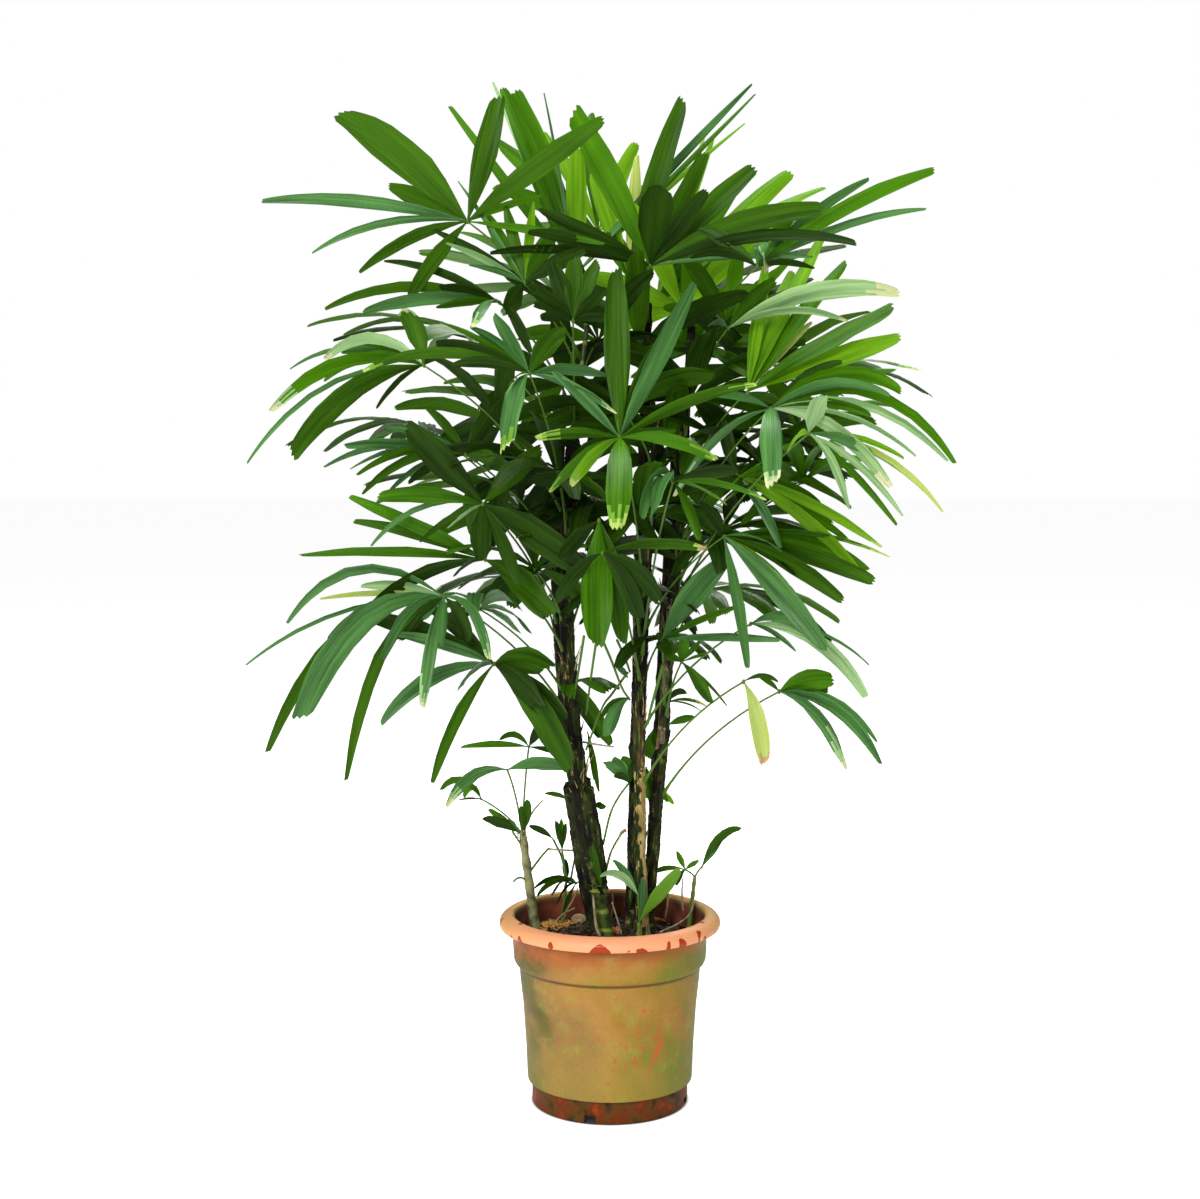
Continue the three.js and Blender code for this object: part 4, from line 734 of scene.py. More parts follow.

# hub is where the leaflets spread; turn is the fan's heading in plan, its climb and its roll. A front
# frond's leaflets are drawn one by one: where the tip stands in the camera's 1200 x 1199 picture, how far it
# lies behind the hub, its width and its droop, then its own tone, which partly paints how much light falls
# on it, and tip colour. In the others fan is the middle and the width of the spread, blade the length and
# width of a full leaflet, and lengths and widths are each leaflet's shares of them. tone is the fan's green,
# partly painted light and shade as TONES tells, tips are the colour and the share of leaflets with a
# coloured tip, and end, where it is given, narrows the leaflets' ends to that share.
FRONDS = [
    dict(cane="left_front", hub=[-175, -60, 1120], turn=[-90, 62, 0], tone="lit", drawn=[
        (340, 113, -40, 46, 0.5, "mid"), (389, 186, 30, 24, 0.1, "mid"), (262, 201, 20, 15, 0.4, "blue"),
        (312, 253, -10, 9, 0.7, "blue"), (359, 272, -30, 15, 0.6, "mid"), (409, 298, -40, 18, 0.3),
        (499, 97, 0, 28, 0.1, "mid"), (603, 119, -50, 26, 0.15, "mid"), (541, 196, 20, 9, 0.3),
        (604, 244, -20, 10, 0.2)]),
    dict(cane="centre_back", hub=[50, -20, 1070], turn=[-90, 68, 0], tone="mid", drawn=[
        (574, 112, -30, 32, 0.15, "lit"), (660, 185, -110, 40, 0.5, "deep"), (704, 153, 0, 24, 0.1),
        (754, 168, -20, 25, 0.2), (822, 208, -60, 28, 0.5), (706, 190, -50, 24, 0.2, "deep"),
        (856, 243, -80, 14, 0.6, "deep"), (813, 257, -40, 8, 0.2, "blue"), (539, 210, -60, 17, 0.2, "deep"),
        (490, 253, -60, 11, 0.4, "deep"), (528, 232, -90, 16, 0.3, "deep")]),
    dict(cane="left_front", hub=[-45, 60, 1065], turn=[90, 72, 0], tone="bright", drawn=[
        (503, 88, 40, 26, 0.15, "lit"), (516, 91, 60, 32, 0.25), (493, 82, 80, 9, 0.2, "pale"),
        (450, 106, 70, 12, 0.1), (544, 93, 40, 4, 0.3, "blue"), (752, 84, 40, 11, 0, "blue"),
        (755, 94, 60, 8, 0, "lit"), (745, 123, 60, 8, 0.1), (577, 146, 30, 27, 0.1),
        (548, 190, 20, 24, 0.2, "lit")]),
    dict(cane="centre_back", hub=[25, 60, 1060], turn=[90, 72, 0], tone="bright", drawn=[
        (682, 99, -20, 30, 0.5, "mid"), (637, 155, 60, 16, 0.2, "yellow"), (592, 172, 30, 22, 0.2),
        (612, 232, 10, 26, 0.2), (700, 240, 40, 24, 0.2, "lit")]),
    dict(cane="centre_back", hub=[60, 80, 1030], turn=[90, 66, 0], tone="bright", drawn=[
        (706, 128, 40, 9, 0.15, "yellow"), (713, 139, 60, 14, 0.15), (790, 172, 60, 27, 0.2),
        (824, 187, 40, 22, 0.45), (735, 190, 30, 24, 0.2, "lit"), (688, 232, 50, 22, 0.2),
        (775, 226, 30, 24, 0.3, "lit"), (718, 300, 20, 20, 0.5)]),
    dict(cane="left_front", hub=[-105, -60, 1045], turn=[-90, 65, 0], tone="mid", drawn=[
        (433, 230, -10, 11, 0.3), (446, 243, -30, 8, 0.2, "pale"), (469, 265, -30, 8, 0.4, "blue"),
        (458, 181, 10, 6, 0.1, "blue"), (533, 202, 20, 12, 0.1, "bright"), (506, 206, 10, 15, 0.1),
        (485, 212, 20, 18, 0.1, "lit"), (558, 316, -50, 22, 0.6, "deep"), (506, 313, -40, 24, 0.5, "deep"),
        (585, 250, -20, 20, 0.2, "deep"), (556, 225, 0, 22, 0.1)]),
    dict(cane="left_front", hub=[-135, -80, 1020], turn=[-115, 52, 0], tone="mid", drawn=[
        (325, 309, -20, 12, 0.8), (363, 311, -60, 18, 0.5, "blue"), (384, 261, 20, 10, 0.5, "deep"),
        (436, 307, -60, 14, 0.3), (473, 327, -70, 18, 1.6, "blue", "straw"),
        (532, 352, -60, 20, 0.8, "deep"), (440, 288, -20, 18, 0.4, "deep")]),
    dict(cane="left_front", hub=[-45, -120, 995], turn=[-90, 60, 0], tone="deep", drawn=[
        (535, 292, -20, 20, 0.3), (552, 262, 0, 22, 0.2), (575, 258, 0, 22, 0.2), (606, 288, -20, 16, 0.2),
        (540, 316, -40, 18, 0.5), (612, 318, -30, 14, 0.4), (598, 262, 0, 18, 0.2, "mid")]),
    dict(cane="right_front", hub=[180, -60, 1065], turn=[-60, 55, 0], tone="lit", drawn=[
        (934, 170, 20, 19, 0.35), (926, 209, 40, 10, 0.45, "blue"), (869, 179, 50, 13, 0.4, "blue"),
        (765, 270, -70, 22, 2.4, "blue", "straw"), (690, 258, -30, 14, 1.0, "deep"),
        (792, 215, 20, 20, 0.3), (700, 228, 20, 18, 0.4), (815, 268, -40, 12, 0.6, "deep")]),
    dict(cane="right_front", hub=[168, -80, 912], turn=[80, 60, 0], tone="bright", drawn=[
        (846, 262, 60, 22, 0.2, "lit"), (827, 226, 80, 19, 0.15), (892, 304, -10, 39, 0.1),
        (900, 336, -20, 32, 0.12), (792, 271, 80, 20, 0.2), (812, 322, 40, 14, 0.3, "yellow"),
        (765, 262, 60, 18, 0.1)]),
    dict(cane="right_front", hub=[145, -60, 990], turn=[-70, 45, 0], tone="pale", drawn=[
        (899, 292, -110, 26, 0.75, "pale", "straw"), (848, 321, -100, 13, 0.8, "pale", "straw"),
        (812, 296, 50, 20, 0.6, "mid"), (708, 326, -60, 12, 0.8, "blue"), (775, 280, 20, 20, 0.4, "mid")]),
    dict(cane="right_front", hub=[190, -150, 890], turn=[-70, 40, 0], tone="blue", drawn=[
        (772, 484, -90, 27, 3.0, "blue", "straw"), (901, 391, 0, 18, 1.2, "lit"), (890, 395, -40, 14, 1.0),
        (955, 463, -20, 12, 1.8, "lit"), (948, 461, -40, 11, 1.4, "pale"),
        (891, 487, -80, 19, 1.3, "pale", "straw"), (871, 415, -20, 12, 0.7, "lit"),
        (916, 456, -20, 7, 1.0, "pale"), (674, 496, -40, 14, 1.6, "blue", "straw"), (712, 395, 10, 12, 0.6),
        (842, 362, 40, 14, 0.7, "mid")]),
    dict(cane="right_front", hub=[230, -200, 860], turn=[-50, 40, 0], tone="blue", drawn=[
        (850, 509, -30, 15, 2.6, "pale"), (943, 512, 0, 7, 1.2, "yellow"), (938, 505, 10, 6, 1.1, "pale"),
        (903, 516, -20, 9, 0.9, "pale"), (897, 525, -40, 8, 0.6, "lit"), (904, 458, 10, 8, 0.7, "bright"),
        (788, 449, -30, 20, 1.5, "bright"), (822, 396, 0, 24, 0.6, "pale"), (872, 455, -10, 14, 0.8)]),
    dict(cane="centre_front", hub=[140, -80, 735], turn=[-65, 42, 0], tone="mid", drawn=[
        (874, 581, 0, 25, 0.35), (843, 600, -30, 24, 0.5), (804, 608, -10, 17, 0.5, "bright"),
        (824, 648, -50, 27, 0.4, "blue"), (890, 557, 20, 8, 0.6, "lit", "yellow_tip"),
        (747, 668, -60, 14, 0.3, "blue"), (782, 551, -60, 14, 0.8, "blue"), (868, 570, 30, 18, 0.9, "lit"),
        (700, 505, 0, 20, 0.4, "deep")]),
    dict(cane="centre_front", hub=[175, -60, 625], turn=[-70, 58, 0], tone="blue", drawn=[
        (824, 650, -20, 21, 2.0), (866, 697, 10, 17, 1.8, "pale"), (869, 665, 40, 4, 0.9),
        (796, 651, -50, 8, 0.7)]),
    dict(cane="right_front", hub=[64, -60, 604], turn=[-80, 45, 0], tone="mid", drawn=[
        (781, 640, -30, 13, 0.2, "blue"), (745, 605, 20, 9, 0.3, "lit"), (722, 563, 20, 32, 0.3, "blue"),
        (662, 650, -40, 16, 0.8, "deep")]),
    dict(cane="right_front", hub=[215, -20, 535], turn=[-80, 66, 0], tone="blue", drawn=[
        (833, 680, 0, 31, 0.7, "lit"), (847, 769, -40, 21, 2.2, "blue", "straw"), (881, 764, -10, 15, 1.8),
        (877, 742, 20, 9, 1.6), (828, 690, 20, 16, 0.7, "mid"), (760, 678, 20, 7, 0.6, "mid")]),
    dict(cane="centre_front", hub=[165, -80, 555], turn=[-80, 62, 0], tone="yellow", drawn=[
        (765, 763, -30, 21, 3.0, "yellow", "brown_tip"), (778, 682, 40, 6, 0.9, "mid")]),
    dict(cane="centre_front", hub=[10, -220, 855], turn=[-90, 50, 0], tone="blue", drawn=[
        (616, 270, 60, 29, 0.1), (694, 283, 50, 22, 0.2), (756, 384, -10, 14, 0.5, "mid", "yellow_tip"),
        (717, 459, -70, 20, 0.7, "lit", "yellow_tip"), (617, 528, -120, 29, 1.6, "lit", "yellow_tip"),
        (549, 491, -50, 20, 0.7, "lit", "yellow_tip"), (536, 438, -10, 14, 0.5, "mid", "yellow_tip"),
        (553, 371, 20, 13, 0.3), (570, 484, -60, 18, 0.7, "bright", "yellow_tip"),
        (660, 340, 70, 20, 0.2, "mid"), (676, 430, 0, 14, 0.2)]),
    dict(cane="left_front", hub=[-95, -180, 930], turn=[-100, 42, 0], tone="blue", drawn=[
        (363, 371, 20, 13, 0.8, "mid", "yellow_tip"), (504, 448, -90, 31, 2.4, "blue", "yellow_tip"),
        (470, 327, 40, 12, 0.5), (440, 322, 60, 8, 0.4, "lit"), (436, 343, 40, 14, 0.6, "deep"),
        (617, 413, -50, 14, 0.5, "blue", "straw"), (606, 374, -20, 18, 0.4), (566, 332, 10, 24, 0.8),
        (508, 386, -50, 9, 0.9, "lit"), (452, 365, -10, 14, 0.7, "deep"), (494, 315, 50, 16, 0.2)]),
    dict(cane="centre_front", hub=[70, -260, 805], turn=[-80, 35, 0], tone="lit", drawn=[
        (650, 516, -60, 38, 3.2, "blue"), (640, 512, -56, 20, 3.4, "blue"),
        (766, 499, -60, 14, 0.5, "lit", "yellow_tip"), (727, 504, -105, 20, 0.4),
        (738, 470, 20, 20, 0.3, "deep"), (700, 540, -90, 16, 0.7, "mid")]),
    dict(cane="centre_front", hub=[-10, -180, 720], turn=[-90, 25, 0], tone="bright", drawn=[
        (660, 600, 10, 26, 1.2, "deep"), (706, 548, 20, 22, 0.5, "mid", "brown_tip"),
        (556, 600, 0, 26, 1.1, "deep"), (640, 618, 20, 24, 1.4, "deep")]),
    dict(cane="left_front", hub=[-230, -60, 945], turn=[-120, 48, 0], tone="lit", drawn=[
        (402, 309, -40, 27, 0.9, "mid", "straw"), (325, 359, -20, 17, 1.5, "pale", "straw"),
        (271, 411, -20, 19, 1.5, "lit", "straw"), (292, 454, -60, 28, 1.5, "mid"),
        (247, 463, 10, 7, 1.5, "blue"), (290, 369, 60, 6, 0.9, "blue"), (376, 408, -50, 9, 1.0, "deep"),
        (324, 381, 30, 12, 1.2), (340, 352, 40, 16, 0.8, "mid"), (450, 350, 10, 16, 0.8, "deep")]),
    dict(cane="left_front", hub=[-180, -40, 835], turn=[-110, 50, 0], tone="deep", drawn=[
        (345, 446, -20, 15, 0.4, "blue"), (324, 467, 10, 9, 0.9, "blue"), (350, 469, -30, 9, 0.9, "blue"),
        (357, 475, -50, 10, 1.0, "mid"), (370, 440, 50, 6, 1.0, "blue"), (386, 427, 20, 10, 0.4, "blue"),
        (362, 494, -60, 13, 1.2, "mid"), (427, 408, 30, 12, 0.5), (408, 482, -20, 16, 0.7),
        (500, 400, 20, 22, 0.3), (386, 495, 0, 9, 1.1, "blue"), (512, 470, -40, 24, 0.5)]),
    dict(cane="left_back", hub=[-155, -100, 775], turn=[-90, 50, 0], tone="deep", drawn=[
        (407, 426, 0, 34, 0.1, "deep"), (378, 497, -20, 20, 0.4, "lit"), (447, 528, -60, 10, 0.3, "pale"),
        (371, 546, 20, 7, 1.4, "blue"), (420, 542, 10, 8, 0.8), (582, 566, -30, 40, 0.3, "deep"),
        (520, 585, -50, 20, 0.5), (541, 448, 30, 26, 0.2), (480, 560, -30, 26, 0.4)]),
    dict(cane="left_front", hub=[-155, -60, 705], turn=[-90, 50, 0], tone="mid", drawn=[
        (300, 555, 20, 16, 0.3, "lit"), (350, 496, -10, 18, 0.1, "lit"), (363, 614, -20, 18, 1.0),
        (354, 521, 30, 14, 0.3, "mid"), (453, 576, -50, 14, 0.9, "deep"), (554, 614, -40, 46, 0.5),
        (470, 488, 20, 28, 0.2, "mid"), (505, 480, 40, 24, 0.2, "deep")]),
    dict(cane="left_front", hub=[-205, -80, 660], turn=[-105, 58, 0], tone="blue", drawn=[
        (246, 665, 40, 5, 0.9), (299, 716, -30, 32, 2.8), (267, 751, 0, 15, 2.6, "mid"),
        (287, 623, 30, 12, 1.8), (343, 779, -40, 15, 5.0, "mid"), (381, 659, -50, 19, 2.6),
        (441, 646, -50, 17, 2.6), (491, 658, -30, 17, 4.0, "blue", "straw"),
        (422, 707, -40, 15, 3.0, "blue", "straw"), (470, 640, 0, 22, 1.6, "deep"),
        (400, 640, 20, 22, 1.6, "deep"), (320, 599, 20, 7, 0.3, "yellow"), (361, 586, 20, 14, 0.4, "pale"),
        (330, 640, 20, 22, 1.0, "mid")]),
    dict(cane="left_front", hub=[-145, -60, 575], turn=[-90, 66, 0], tone="deep", drawn=[
        (362, 614, 0, 24, 0.2), (396, 634, -10, 14, 0.3, "blue"), (430, 606, 10, 20, 0.2),
        (381, 724, -20, 18, 1.3, "blue"), (432, 783, -40, 14, 1.1, "mid"), (459, 686, -60, 26, 1.0, "blue"),
        (571, 768, -10, 38, 1.3, "mid"), (548, 668, 20, 34, 0.9), (540, 705, -20, 34, 0.9),
        (562, 722, 0, 32, 0.5)]),
    dict(cane="left_back", hub=[-70, 140, 880], turn=[120, 25, 0], fan=[0, 240], blade=[240, 29],
         droop=0.8, **EVEN_FAN, tone="deep"),
    dict(cane="right_back", hub=[110, 170, 910], turn=[60, 25, 0], fan=[0, 240], blade=[240, 29],
         droop=0.8, **EVEN_FAN, tone="deep"),
    dict(cane="left_back", hub=[-120, 130, 775], turn=[150, 15, 0], fan=[0, 230], blade=[230, 29],
         droop=0.9, **EVEN_FAN, tone="deep"),
    dict(cane="centre_back", hub=[40, 200, 770], turn=[85, 10, 0], fan=[0, 230], blade=[240, 29],
         droop=0.9, **EVEN_FAN, tone="mid"),
    dict(cane="centre_back", hub=[-70, 190, 1050], turn=[115, 35, 0], fan=[0, 220], blade=[230, 29],
         droop=0.6, **EVEN_FAN, tone="mid"),
    dict(cane="centre_back", hub=[125, 190, 1050], turn=[50, 38, 0], fan=[0, 220], blade=[230, 29],
         droop=0.6, **EVEN_FAN, tone="mid"),
    dict(cane="right_front", hub=[175, 40, 810], turn=[15, 8, -10], fan=[0, 220], blade=[180, 29],
         droop=0.9, **EVEN_FAN, tone="deep"),
    dict(cane="left_back", hub=[-180, 110, 985], turn=[165, 15, 0], fan=[0, 220], blade=[225, 27],
         droop=0.7, **EVEN_FAN, tone="deep"),
    dict(cane="left_back", hub=[-95, 140, 665], turn=[140, 5, 0], fan=[0, 220], blade=[210, 27],
         droop=1.1, **EVEN_FAN, tone="mid", tips=("yellow_tip", 0.15)),
    dict(cane="right_back", hub=[125, 160, 650], turn=[35, 5, 0], fan=[0, 220], blade=[220, 27],
         droop=1.1, **EVEN_FAN, tone="mid"),
    dict(cane="right_back", hub=[260, 130, 950], turn=[20, 3, 0], fan=[0, 220], blade=[180, 27],
         droop=0.7, **EVEN_FAN, tone="mid", tips=("yellow_tip", 0.15)),
    dict(cane="left_front", hub=[-15, 20, 980], turn=[-120, 50, 0], fan=[0, 240], blade=[150, 25],
         droop=0.4, **SMALL_FAN, tone="deep"),
    dict(cane="right_front", hub=[120, 30, 970], turn=[60, 50, 0], fan=[0, 220], blade=[170, 27],
         droop=0.5, **SMALL_FAN, tone="mid"),
    dict(cane="left_front", hub=[-65, -60, 815], turn=[-160, 15, 0], fan=[0, 240], blade=[160, 27],
         droop=0.9, **SMALL_FAN, tone="deep"),
    dict(cane="right_front", hub=[130, 10, 730], turn=[-10, 15, -10], fan=[0, 240], blade=[160, 27],
         droop=0.9, **SMALL_FAN, tone="deep"),
    dict(cane="left_back", hub=[-245, 110, 870], turn=[175, 10, 0], fan=[0, 220], blade=[190, 27],
         droop=0.8, **EVEN_FAN, tone="deep"),
    dict(cane="centre_back", hub=[-15, 150, 1130], turn=[95, 60, 0], fan=[-20, 120], blade=[190, 27],
         droop=0.3, lengths=SMALL_FAN["lengths"], widths=[0.8, 0.9, 1, 1, 1, 0.9, 0.8], tone="bright"),
    dict(cane="centre_back", hub=[-15, 60, 775], turn=[-100, 0, 0], fan=[0, 240], blade=[175, 28],
         droop=1.2, **SMALL_FAN, tone="deep"),
    dict(cane="right_back", hub=[120, 60, 855], turn=[-20, 10, 0], fan=[0, 240], blade=[180, 28],
         droop=0.9, **SMALL_FAN, tone="deep"),
    dict(cane="right_front", hub=[90, -40, 575], turn=[-80, 45, 0], tone="lit", drawn=[
        (684, 636, -10, 16, 0.1), (701, 640, 0, 8, 0.1), (710, 652, 10, 6, 0.2),
        (712, 703, -20, 18, 0.7, "mid"), (664, 655, 0, 12, 0.4, "mid"), (727, 706, 10, 4, 0.6)]),
]

# Smaller and inner leaves between the forty-eight, in the same words. They keep the crown dense.
INNER_FANS = [
    dict(cane="centre_back", hub=[39, 20, 970], turn=[-90, 50, 0], fan=[0, 260], blade=[165, 32],
         droop=0.6, **SMALL_FAN, tone="mid"),
    dict(cane="right_front", hub=[103, 0, 905], turn=[-80, 50, 0], fan=[0, 260], blade=[165, 33],
         droop=0.8, **SMALL_FAN, tone="deep"),
    dict(cane="left_front", hub=[-65, -10, 802], turn=[-100, 50, 0], fan=[0, 270], blade=[160, 32],
         droop=0.8, **SMALL_FAN, tone="deep"),
    dict(cane="centre_front", hub=[39, -10, 760], turn=[-90, 45, 0], fan=[0, 260], blade=[165, 34],
         droop=1.0, **SMALL_FAN, tone="deep"),
    dict(cane="left_front", hub=[-13, 60, 690], turn=[-95, 30, 0], fan=[0, 240], blade=[150, 34],
         droop=1.2, **SMALL_FAN, tone="deep"),
    dict(cane="left_back", hub=[-140, 20, 868], turn=[-110, 48, 0], fan=[0, 260], blade=[160, 26],
         droop=0.7, **EVEN_FAN, tone="deep"),
    dict(cane="left_back", hub=[-115, 40, 765], turn=[-100, 48, 0], fan=[0, 260], blade=[160, 32],
         droop=0.9, **SMALL_FAN, tone="deep"),
    dict(cane="right_front", hub=[195, 60, 935], turn=[-70, 50, 0], fan=[0, 240], blade=[165, 28],
         droop=0.7, **SMALL_FAN, tone="mid"),
    dict(cane="right_back", hub=[245, 60, 870], turn=[-60, 45, 0], fan=[0, 240], blade=[160, 26],
         droop=0.9, **EVEN_FAN, tone="lit"),
    dict(cane="right_front", hub=[190, 30, 825], turn=[-70, 46, 0], fan=[0, 260], blade=[165, 30],
         droop=0.9, **SMALL_FAN, tone="mid"),
    dict(cane="right_back", hub=[245, 0, 800], turn=[-60, 40, 0], fan=[35, 150], blade=[165, 24],
         droop=1.1, **SMALL_FAN, tone="lit", tips=("yellow_tip", 0.3)),
    dict(cane="right_back", hub=[150, 40, 740], turn=[-75, 40, 0], fan=[0, 260], blade=[150, 30],
         droop=1.0, **SMALL_FAN, tone="deep"),
    dict(cane="centre_back", hub=[80, 40, 830], turn=[-85, 48, 0], fan=[0, 280], blade=[160, 32],
         droop=0.8, **SMALL_FAN, tone="deep"),
    dict(cane="left_front", hub=[-48, 20, 540], turn=[-60, 20, 0], fan=[-8, 90], blade=[80, 30],
         droop=1.2, lengths=[0.8, 1, 0.6], widths=[1, 1.1, 0.8], tone="mid"),
    dict(cane="centre_back", hub=[30, 30, 655], turn=[-95, 20, 0], fan=[0, 190], blade=[125, 34],
         droop=1.4, lengths=[0.8, 1, 0.9, 1, 0.7], widths=[1, 1, 1, 1, 1], tone="deep"),
    dict(cane="centre_back", hub=[95, 60, 1020], turn=[-70, 60, 0], fan=[0, 200], blade=[165, 30],
         droop=0.4, **SMALL_FAN, tone="bright"),
    dict(cane="left_back", hub=[-60, 60, 925], turn=[-100, 50, 0], fan=[0, 270], blade=[155, 30],
         droop=0.7, **SMALL_FAN, tone="deep"),
    dict(cane="centre_front", hub=[15, -10, 890], turn=[-95, 48, 0], fan=[0, 280], blade=[140, 30],
         droop=0.7, **SMALL_FAN, tone="mid"),
    dict(cane="left_front", hub=[-95, -20, 690], turn=[-100, 40, 0], fan=[0, 230], blade=[130, 30],
         droop=1.0, **SMALL_FAN, tone="mid"),
    dict(cane="left_front", hub=[-165, -20, 640], turn=[-110, 40, 0], fan=[-10, 200], blade=[105, 22],
         droop=1.6, **SMALL_FAN, tone="blue"),
    dict(cane="right_front", hub=[150, 40, 1000], turn=[-70, 58, 0], fan=[0, 200], blade=[115, 24],
         droop=0.4, **SMALL_FAN, tone="lit"),
    dict(cane="right_front", hub=[156, -60, 810], turn=[-70, 55, 0], tone="lit", drawn=[
        (882, 547, -20, 14, 0.5, "bright", "yellow_tip"), (864, 578, -10, 15, 0.5, "bright"),
        (848, 540, 0, 14, 0.4), (790, 450, 20, 16, 0.3, "deep"), (700, 515, 0, 16, 0.8, "mid"),
        (781, 548, -30, 12, 1.2, "blue"), (820, 505, 10, 16, 0.5, "mid"), (722, 420, 20, 18, 0.2, "deep")]),
    dict(cane="centre_front", hub=[-14, -150, 757], turn=[-90, 60, 0], end=0.6, tone="lit", drawn=[
        (597, 645, -30, 38, 0.4), (623, 643, 10, 28, 0.6, "mid"), (560, 560, 0, 20, 0.6, "deep")]),
    dict(cane="centre_front", hub=[66, 0, 600], turn=[-80, 20, 0], fan=[0, 200], blade=[95, 28],
         droop=1.6, lengths=[0.8, 1, 0.9, 1, 0.7], widths=[1, 1, 1, 1, 1], tone="deep"),
]

# A leaflet's middle line has 24 steps. Its rows of points stand at these steps, closer near the tip, and
# its columns at these shares of its half width.
PATH_STEPS = 24
ROW_STEPS = np.array([0, 1.5, 3.5, 6.5, 10, 13.5, 17, 19.5, 21, 22.2, 23, 23.6, 24])
COLUMNS = np.array([-1, -0.66, -0.33, 0, 0.33, 0.66, 1])
# A petiole leaves its cane this far under its hub, and by this share of the hub's reach lower; its knee
# stands at these shares of the way out and up.
PETIOLE_RISE, PETIOLE_SLOPE, KNEE_OUT, KNEE_UP = 30.0, 0.75, 0.35, 0.62
# The main camera's place, how far it looks down, and its focal length and its picture's middle in pixels.
CAMERA_PLACE, CAMERA_PITCH = np.array([-12.7, -2400.0, 841.0]), 4.53
FOCAL_LENGTH, PICTURE_MIDDLE = 1887, (600, 599.5)


def noise(n):
    """A repeatable number from 0 to 1: the fraction of a large sine."""
    return np.mod(np.sin(np.asarray(n, float) * 12.9898 + 4.137) * 43758.5453, 1.0)


def fan_axes(turn):
    """A fan's own axes from its heading, climb and roll: forward, right across it, and up out of it."""
    heading, climb, roll = np.radians(turn)
    forward = np.array([np.cos(climb) * np.cos(heading), np.cos(climb) * np.sin(heading), np.sin(climb)])
    level = np.array([np.sin(heading), -np.cos(heading), 0])
    face = np.cross(level, forward)
    return forward, level * np.cos(roll) + face * np.sin(roll), face * np.cos(roll) - level * np.sin(roll)


def seen_at(u, v, depth):
    """The point with y = depth on the sight line through a place in the main camera's picture. For each
    unit it goes forward, the line leans sideways and up by the place's distance from the picture's middle
    over the focal length."""
    pitch = np.radians(CAMERA_PITCH)
    aside, rise = (u - PICTURE_MIDDLE[0]) / FOCAL_LENGTH, (PICTURE_MIDDLE[1] - v) / FOCAL_LENGTH
    forward = (depth - CAMERA_PLACE[1]) / (np.cos(pitch) + rise * np.sin(pitch))
    return np.stack([CAMERA_PLACE[0] + aside * forward, depth + 0 * u,
                     CAMERA_PLACE[2] + forward * (rise * np.cos(pitch) - np.sin(pitch))], -1)


def mean_way(way):
    """The mean direction of each leaflet's steps, which is the way from its hub to its tip."""
    return ((way[:, :-1] + way[:, 1:]) / 2).mean(axis=1)


def bending_way(start, droop):
    """Directions along a leaflet at 25 even steps: its start, bent down by droop * t ** 1.3."""
    way = start[:, None, :].repeat(PATH_STEPS + 1, axis=1)
    way[..., 2] -= droop[:, None] * (np.arange(PATH_STEPS + 1) / PATH_STEPS) ** 1.3
    return unit(way)


def leaflets_of(row, first_seed):
    """What blades() needs for each leaflet of a fan, as columns of numbers. Drawn leaflets start the way
    that brings their bent line to its tip, found in ten rounds by turning the start by what the end still
    misses; they keep their face towards the fan's, leaned a little back, as they bend, and are an eighth
    broader, for their pleats. Others are spread evenly, then differ a little in angle, cup, twist and
    droop."""
    forward, right, up = fan_axes(row["turn"])
    hub = np.array(row["hub"], float)
    if "drawn" in row:
        u, v, behind, width, droop = np.array([leaflet[:5] for leaflet in row["drawn"]], float).T
        count, chord = len(u), seen_at(u, v, hub[1] + behind) - hub
        seed = first_seed + np.arange(count)
        start = unit(chord)
        for _ in range(10):
            start = unit(start + 0.9 * (unit(chord) - unit(mean_way(bending_way(start, droop)))))
        reach = mean_way(bending_way(start, droop))
        length = np.linalg.norm(chord, axis=1) / np.linalg.norm(reach, axis=1)
        width, up = width * 1.12, unit(up + (0, 0.45, 0))
        lean, facing = 20, 0.75
        room = np.maximum(0.45, 2.4 * width / length)
    else:
        count = len(row["lengths"])
        seed = first_seed + np.arange(count)
        middle, spread = row["fan"]
        angle = np.radians(middle + (np.arange(count) / (count - 1) - 0.5) * spread
                           + (noise(seed + 0.3) - 0.5) * 0.2 * spread / count)[:, None]
        cup = np.radians(8 + (noise(seed + 0.7) - 0.5) * 10)[:, None]
        start = np.cos(cup) * (np.cos(angle) * forward + np.sin(angle) * right) + np.sin(cup) * up
        droop = row["droop"] * (1 + 0.5 * (noise(seed + 0.2) - 0.5))
        length, width = row["blade"][0] * np.array(row["lengths"]), row["blade"][1] * np.array(row["widths"])
        lean, facing = 40, 0
        room = np.full(count, 1.05 * np.radians(spread) / (count - 1))
    twist = np.radians((noise(seed + 0.9) - 0.5) * lean)[:, None]
    flat = unit(np.cross(start, up))
    side = np.cos(twist) * flat + np.sin(twist) * unit(np.cross(flat, start))
    numbers = np.stack([length, width, droop, room, seed, np.full(count, facing),
                        np.full(count, row.get("end", 1.0))], -1)
    return np.hstack([np.repeat([hub], count, axis=0), start, side, numbers])


